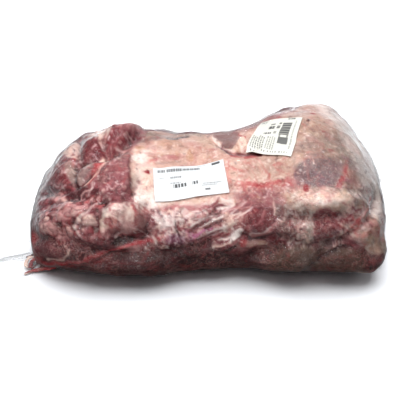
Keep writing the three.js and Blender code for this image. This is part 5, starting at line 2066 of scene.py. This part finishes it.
# ---- Loose film at the ends ----------------------------------------------------------------------
@dataclass
class FilmSheet:
    """Film that lies on itself, from a line inside the pack to its free edge."""

    name: str
    outer: tuple[Point, ...]
    root: tuple[Point, ...]
    form: ShoulderForm
    steps_round: int = 260
    steps_out: int = 70
    thick: float = 0.5
    ripple: float = 1.1
    ripple_turns: tuple[float, float] = (26.0, 2.0)
    folds: float = 1.6
    fold_stretch: tuple[float, float] = (90.0, 5.0)
    clear_rim: float = 0.9
    clear_over_trim: float = 0.45
    clearer_from: float = 0.6
    finish: FilmFinish = FilmFinish(shine=0.8, haze=0.06, patchy=0.42, roughness=0.2, mirror=0.2,
                                    grey=(184, 186, 188))

    def build(self) -> bpy.types.Object:
        """Makes the sheet: straight lines from root to edge, rippled across them.

        Returns:
            The new object.
        """
        around = np.linspace(0.0, 1.0, self.steps_round + 1)
        out = np.linspace(0.0, 1.0, self.steps_out + 1)
        inner = through_values(np.array(self.root), around)[:, None]
        edge = through_values(np.array(self.outer), around)[:, None]
        points = inner + (edge - inner) * out[None, :, None]
        u, v = np.meshgrid(around, out, indexing="ij")
        ripple = self.ripple * v * np.sin(u * self.ripple_turns[0] + v * self.ripple_turns[1])
        puckers = self.folds * v * noise(np.stack([u, v], -1) * self.fold_stretch, 6.0, 3)
        points[..., 2] = np.maximum(points[..., 2] + ripple + puckers, self.thick / 2)
        up, down = points.copy(), points.copy()
        up[..., 2] += self.thick / 2
        down[..., 2] -= self.thick / 2
        vertices, quads = slab(up, down)
        rim = smoothstep(0.72, 1.0, v) + smoothstep(0.08, 0.0, u) + smoothstep(0.92, 1.0, u)
        over_trim = self.clear_over_trim * smoothstep(self.clearer_from, self.clearer_from + 0.15, u)
        thinned = np.tile(np.maximum(self.clear_rim * np.clip(rim, 0.0, 1.0), over_trim).ravel(), 2)
        sheet = make_object(self.name, self.form.in_frame(vertices), quads, fields={"thinned": thinned})
        sheet.data.materials.append(film_material(f"{self.name} film", self.finish))
        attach(sheet, ROOT)
        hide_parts("vacuum_bag")
        log.info("%s: %d faces", self.name, len(sheet.data.polygons))
        return sheet


LEFT_OUTER = (
    (-181, 83, 70), (-196, 57, 58), (-205, 17, 45), (-210, -15, 32), (-220, -41, 18),
    (-238, -56, 6), (-254, -66, 2.4), (-238, -82, 1.6), (-208, -91, 1.4), (-184, -88, 2),
)
LEFT_ROOT = (
    (-168, 76, 66), (-180, 54, 55), (-188, 17, 43), (-190, -15, 32), (-189, -40, 24),
    (-187, -52, 18), (-185, -60, 15), (-183, -66, 13), (-180, -72, 11), (-176, -76, 10),
)
RIGHT_OUTER = (
    (198, 78, 60), (209, 44, 62), (214, 10, 60), (214.5, -20, 52), (214, -42, 38),
    (213, -56, 20), (211, -68, 6), (204, -78, 2), (192, -84, 1.6),
)
RIGHT_ROOT = (
    (180, 70, 58), (190, 40, 58), (194, 10, 56), (194, -18, 50), (192, -38, 40),
    (190, -50, 28), (186, -58, 18), (180, -64, 14), (174, -70, 12),
)


@dataclass(frozen=True)
class Sliver:
    """A thin piece of trim in the loose film: its line in photo pixels, its heights and size in mm."""

    through: str
    heights: tuple[float, ...]
    half_width: float
    flatness: float
    tissue: Tissue


SLIVERS = (
    Sliver("36,262 44,260 54,261 64,261", (6, 8, 10, 14), 5, 0.6, MAROON),
    Sliver("40,267 48,265 58,264 68,263", (4, 5, 7, 11), 3.6, 0.5, DARK_MUSCLE_AND_SHADE),
    Sliver("34,256 40,253 48,255", (8, 11, 15), 3.2, 0.6, DARK_MUSCLE_AND_SHADE),
    Sliver("24.5,273.5 32,271 40,269.5 50,268 62,265 78,262", (1.6, 2.2, 3.4, 5.4, 9.5, 14), 2.1, 0.8,
           BLOOD),
    Sliver("24,274.4 28,273 33,271.2 42,269", (1.2, 1.4, 1.8, 2.6), 1.2, 0.8, CREAM_FAT),
    Sliver("26,257.5 32,255.5 36,252 41,247", (6.5, 8, 11, 15), 1.7, 0.8, DARK_MUSCLE_AND_SHADE),
    Sliver("27,268 26,263 28.5,258.5 33,256", (3.6, 5.2, 6.8, 8), 2.3, 0.6, CREAM_FAT),
    Sliver("30,268 31,263 35,259", (3.6, 5.2, 6.8), 2.6, 0.6, MUSCLE),
    Sliver("32,262 36,258 42,257 49,259", (6, 8, 10, 12), 3, 0.6, BLOOD),
    Sliver("31,269 36,265 43,260", (3.6, 5.5, 9), 1.3, 0.8, DARK_MUSCLE_AND_SHADE),
    Sliver("40,269 41.5,264 45,259", (4.6, 7, 10), 1, 0.8, DARK_MUSCLE_AND_SHADE),
    Sliver("48,258 54,262 62,260 68,256 70,251", (15, 15, 17, 19, 21), 1.5, 0.8, PINK_FAT),
    Sliver("46,262.5 60,263.5 74,260.5 90,257", (11, 12, 15, 18), 1.6, 0.8, RED_FLESH),
)


@dataclass
class CornerTrim:
    """Slivers of fat, sinew and flesh that lie in the loose film at the front left corner."""

    view: PhotoView
    form: ShoulderForm
    steps_along: int = 48
    steps_round: int = 16
    least_height: float = 0.5
    rough: float = 0.9
    rough_size: float = 3.0
    tip_share: float = 0.02

    def tube(self, sliver: Sliver) -> tuple[np.ndarray, np.ndarray, np.ndarray]:
        """A closed tapering tube: an uneven ellipse carried along a curve and shrunk at its ends.

        Args:
            sliver: the sliver's line and sizes.

        Returns:
            The points, the squares and the two end fans.
        """
        line = self.view.place_at(pixels(sliver.through), np.array(sliver.heights))
        u = np.linspace(0.0, 1.0, self.steps_along + 1)
        middle = through_values(line, u)
        along = unit(np.gradient(middle, axis=0))
        side = unit(np.cross(along, [0.0, 0.0, 1.0]))
        above = np.cross(side, along)
        taper = np.sqrt(np.clip(1.0 - (2.0 * u - 1.0) ** 4, 0.0, 1.0)) + self.tip_share
        turn = np.linspace(0.0, 2.0 * np.pi, self.steps_round, endpoint=False)
        c, s = np.cos(turn)[None, :, None], np.sin(turn)[None, :, None]
        ring = side[:, None] * c + above[:, None] * s * sliver.flatness
        uneven = noise((middle[:, None] + 2.0 * ring).reshape(-1, 3), self.rough_size, 4)
        rough = 1.0 + self.rough * uneven
        reach = (sliver.half_width * taper)[:, None, None] * rough.reshape(len(u), -1, 1)
        points = (middle[:, None] + ring * reach).reshape(-1, 3)
        points = np.concatenate([points, middle[:1], middle[-1:]])
        points[:, 2] = np.maximum(points[:, 2], self.least_height)
        grid = len(u), self.steps_round
        return points, grid_quads(*grid, wrap=True), end_fans(*grid)

    def build(self) -> bpy.types.Object:
        """Makes all the slivers as one piece.

        Returns:
            The new object.
        """
        points, quads, fans, channels = [], [], [], []
        count = 0
        for sliver in SLIVERS:
            p, q, f = self.tube(sliver)
            points.append(p)
            quads.append(q + count)
            fans.append(f + count)
            *colour, grain = sliver.tissue.look
            light = (np.array(colour) / 255.0) ** SCREEN_GAMMA
            channels.append(np.tile([*light, grain], (len(p), 1)))
            count += len(p)
        fields = dict(zip(CHANNELS, np.concatenate(channels).T))
        trim = make_object("corner_trim", self.form.in_frame(np.concatenate(points)),
                           np.concatenate(quads), np.concatenate(fans), fields)
        trim.data.materials.append(bpy.data.materials["raw veal"])
        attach(trim, ROOT)
        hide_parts("vacuum_bag")
        log.info("corner_trim: %d faces", len(trim.data.polygons))
        return trim


# ---- Labels --------------------------------------------------------------------------------------
@dataclass(frozen=True)
class Bar:
    """A printed bar: its left, right, back and front edges in mm, and how black it is."""

    left: float
    right: float
    back: float
    front: float
    black: float = 0.85

    def ink(self, across: np.ndarray, down: np.ndarray) -> np.ndarray:
        """The bar's black at places on the paper, with edges half a millimetre soft."""
        reach = np.minimum(np.minimum(across - self.left, self.right - across),
                           np.minimum(down - self.back, self.front - down))
        return self.black * smoothstep(-0.35, 0.2, reach)


@dataclass(frozen=True)
class Dashes:
    """A row of printed dashes of uneven length inside a bar, with gaps, like a line of small print."""

    bar: Bar
    pitch: float
    filled: float = 0.68
    turned: bool = False
    seed: int = 1

    def ink(self, across: np.ndarray, down: np.ndarray) -> np.ndarray:
        """The row's black: a wave of this pitch, shifted unevenly, cut off above a level."""
        place = (down if self.turned else across) / self.pitch
        uneven = noise(np.stack([place, np.full_like(place, self.seed * 3.7)], -1), 1.6, self.seed)
        level = (place + 0.7 * uneven) % 1.0
        return self.bar.ink(across, down) * smoothstep(self.filled, self.filled - 0.12, level)


WEIGHT_PRINT: tuple[Bar | Dashes, ...] = (
    Dashes(Bar(5, 14, 4.0, 8.4, 0.8), 2.4, 0.88, seed=1),
    Dashes(Bar(16, 35, 3.8, 8.6, 0.85), 2.9, 0.88, seed=2),
    Dashes(Bar(36, 56, 4.2, 7.8, 0.8), 2.6, 0.9, seed=3),
    Bar(53, 64, 1.4, 2.4, 0.35),
    Bar(71, 81, 1.4, 4.8, 1.0),
    Dashes(Bar(7, 12, 17.4, 19.6, 0.4), 1.6, 0.8, seed=4),
    Dashes(Bar(20, 33, 16.6, 19.8, 0.7), 2.4, 0.84, seed=5),
    Dashes(Bar(19, 32, 26.4, 29.0, 0.6), 2.0, 0.84, seed=6),
    Dashes(Bar(23, 38, 30.0, 36.6, 1.0), 3.6, 0.8, seed=7),
    Dashes(Bar(45, 51.6, 30.0, 36.2, 1.0), 3.3, 0.8, seed=8),
    Dashes(Bar(57, 80, 36.4, 38.8, 0.6), 2.0, 0.8, seed=9),
    Dashes(Bar(56, 74, 40.0, 42.2, 0.55), 2.0, 0.8, seed=10),
    Bar(59, 65, 47.0, 50.4, 0.85),
    Bar(16, 56, 24.4, 24.9, 0.2),
    Bar(16, 56, 37.8, 38.3, 0.2),
    Bar(16, 16.6, 24.4, 38.3, 0.2),
    Bar(41, 41.6, 24.4, 38.3, 0.2),
    Bar(55.4, 56, 24.4, 38.3, 0.2),
)
TRACE_PRINT: tuple[Bar | Dashes, ...] = (
    Dashes(Bar(38, 48, 2.0, 5.6, 0.95), 3.4, 0.9, seed=11),
    Dashes(Bar(3, 10, 5.0, 8.4, 0.85), 2.8, 0.84, seed=12),
    Bar(18.0, 24.0, 15.0, 19.0, 0.75),
    Dashes(Bar(17.0, 25.0, 22.0, 29.5, 1.0), 3.6, 0.9, seed=13),
    Bar(29.0, 32.0, 14.0, 17.5, 0.95),
    Dashes(Bar(27.5, 31.5, 20.0, 28.0, 0.95), 3.6, 0.85, turned=True, seed=14),
    Dashes(Bar(14.5, 23.5, 37.5, 41.5, 0.95), 3.2, 0.82, seed=15),
    Dashes(Bar(26.5, 30.0, 36.0, 41.0, 0.75), 2.2, 0.8, turned=True, seed=16),
    Dashes(Bar(34.0, 46.0, 15.0, 42.5, 0.95), 5.2, 0.84, turned=True, seed=17),
    Bar(34.0, 46.0, 15.5, 42.0, 0.55),
    Bar(34.5, 36.5, 42.0, 47.0, 0.7),
    Bar(44.0, 46.0, 42.0, 47.0, 0.7),
    Bar(34.5, 46.5, 46.5, 56.0, 0.9),
    Dashes(Bar(36.0, 46.5, 47.0, 48.5, 0.6), 3.0, 0.7, seed=19),
    Dashes(Bar(49.5, 51.2, 9.0, 64.0, 0.6), 2.2, turned=True, seed=20),
    *(Dashes(Bar(2.5 + 2.9 * k, 4.1 + 2.9 * k, 44.0 + 2.0 * (k % 3), 67.0, 0.8), 2.3 + 0.3 * (k % 3),
             0.74, turned=True, seed=30 + k) for k in range(6)),
    *(Dashes(Bar(21.5 + 2.8 * k, 23.0 + 2.8 * k, 46.0 + (k % 2), 66.0, 0.7), 2.5, 0.72, turned=True,
             seed=50 + k) for k in range(4)),
    Dashes(Bar(4, 50, 68.6, 71.0, 0.7), 3.6, 0.45, seed=60),
)


@dataclass
class PaperLabel:
    """A printed paper label that follows the bag between its four corners."""

    name: str
    corners: tuple[Place, Place, Place, Place]
    size: tuple[float, float]
    paper: tuple[int, int, int]
    slot: str
    print: tuple[Bar | Dashes, ...]
    form: ShoulderForm
    steps: tuple[int, int] = (240, 180)
    gap: float = 0.5
    thick: float = 0.35
    print_black: tuple[int, int, int] = (24, 24, 30)
    print_cover: float = 0.96
    shade: int = 30

    def ink(self, across: np.ndarray, down: np.ndarray) -> np.ndarray:
        """How black the print is at a place on the paper, in millimetres from its back left corner.

        Args:
            across: millimetres from the left edge.
            down: millimetres from the back edge.

        Returns:
            Numbers from 0, bare paper, to 1, black.
        """
        total = np.zeros_like(across)
        for item in self.print:
            total = np.maximum(total, item.ink(across, down))
        return total

    def build(self) -> bpy.types.Object:
        """Makes the label as a thin closed sheet over the bag.

        Returns:
            The new object.
        """
        s, t = np.meshgrid(np.linspace(0, 1, self.steps[0] + 1), np.linspace(0, 1, self.steps[1] + 1),
                           indexing="xy")
        a, b, c, d = (np.array(corner, float) for corner in self.corners)
        left = a + (d - a) * t[..., None]
        right = b + (c - b) * t[..., None]
        places = (left + (right - left) * s[..., None]).reshape(-1, 2)
        plain = self.form.plain(*places.T)
        normals = self.form.normal(*places.T)
        lift = self.form.relief(plain) + self.gap
        low = (plain + normals * lift[:, None]).reshape(s.shape + (3,))
        high = (plain + normals * (lift + self.thick)[:, None]).reshape(s.shape + (3,))
        vertices, quads = slab(high, low)
        ink = self.ink(s * self.size[0], t * self.size[1]).ravel()
        made = make_object(f"{self.name}_paper", self.form.in_frame(vertices), quads,
                           fields={"ink": np.concatenate([ink, np.zeros_like(ink)])})
        made.data.materials.append(self.material())
        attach(made, ROOT)
        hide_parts(self.name)
        log.info("%s: %d faces", self.name, len(made.data.polygons))
        return made

    def material(self) -> bpy.types.Material:
        """Smooth label paper, printed where the ink attribute says."""
        material, tree = new_material(f"{self.name} paper")
        fibre = tree.noise(tree.place(), 900.0, 3.0, 0.6)
        paper = tree.mix(tree.ramp(fibre, 0.3, 0.7, 0.0, 0.12), linear(*self.paper),
                         linear(*(channel - self.shade for channel in self.paper)))
        inked = tree.math("MULTIPLY", tree.field("ink"), self.print_cover)
        colour = tree.mix(inked, paper, linear(*self.print_black))
        bump = tree.node("Bump", {"Strength": 0.2, "Distance": 0.0003, "Height": fibre})
        shader = tree.node("BsdfPrincipled", {"Base Color": colour, "Roughness": 0.42,
                                              "Normal": bump.outputs[0]})
        tree.node("OutputMaterial", {"Surface": shader.outputs[0]})
        return material


def main() -> None:
    """Builds the studio and every piece of the pack."""
    logging.basicConfig(level=logging.INFO, format="%(name)s %(message)s")
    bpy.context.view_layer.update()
    form, view = ShoulderForm(), PhotoView()
    studio = Studio(view, form)
    studio.build()
    tissue_group()
    skin = Skin(form)
    _, relief = Meat(skin, view).build()
    Film(skin, view).build(relief)
    FilmSheet("left_flap", LEFT_OUTER, LEFT_ROOT, form).build()
    FilmSheet("right_seal", RIGHT_OUTER, RIGHT_ROOT, form).build()
    CornerTrim(view, form).build()
    PaperLabel("weight_label", ((-60, 100), (20, 92), (26, 121), (-56, 127)), (86, 60),
               (226, 229, 232), "white_paper", WEIGHT_PRINT, form).build()
    PaperLabel("trace_label", ((68, 58), (115, 74), (96, 101), (46, 88)), (56, 75),
               (232, 231, 222), "cream_paper", TRACE_PRINT, form).build()
    studio.keep_lamps_off_table()


if __name__ == "__main__":
    main()
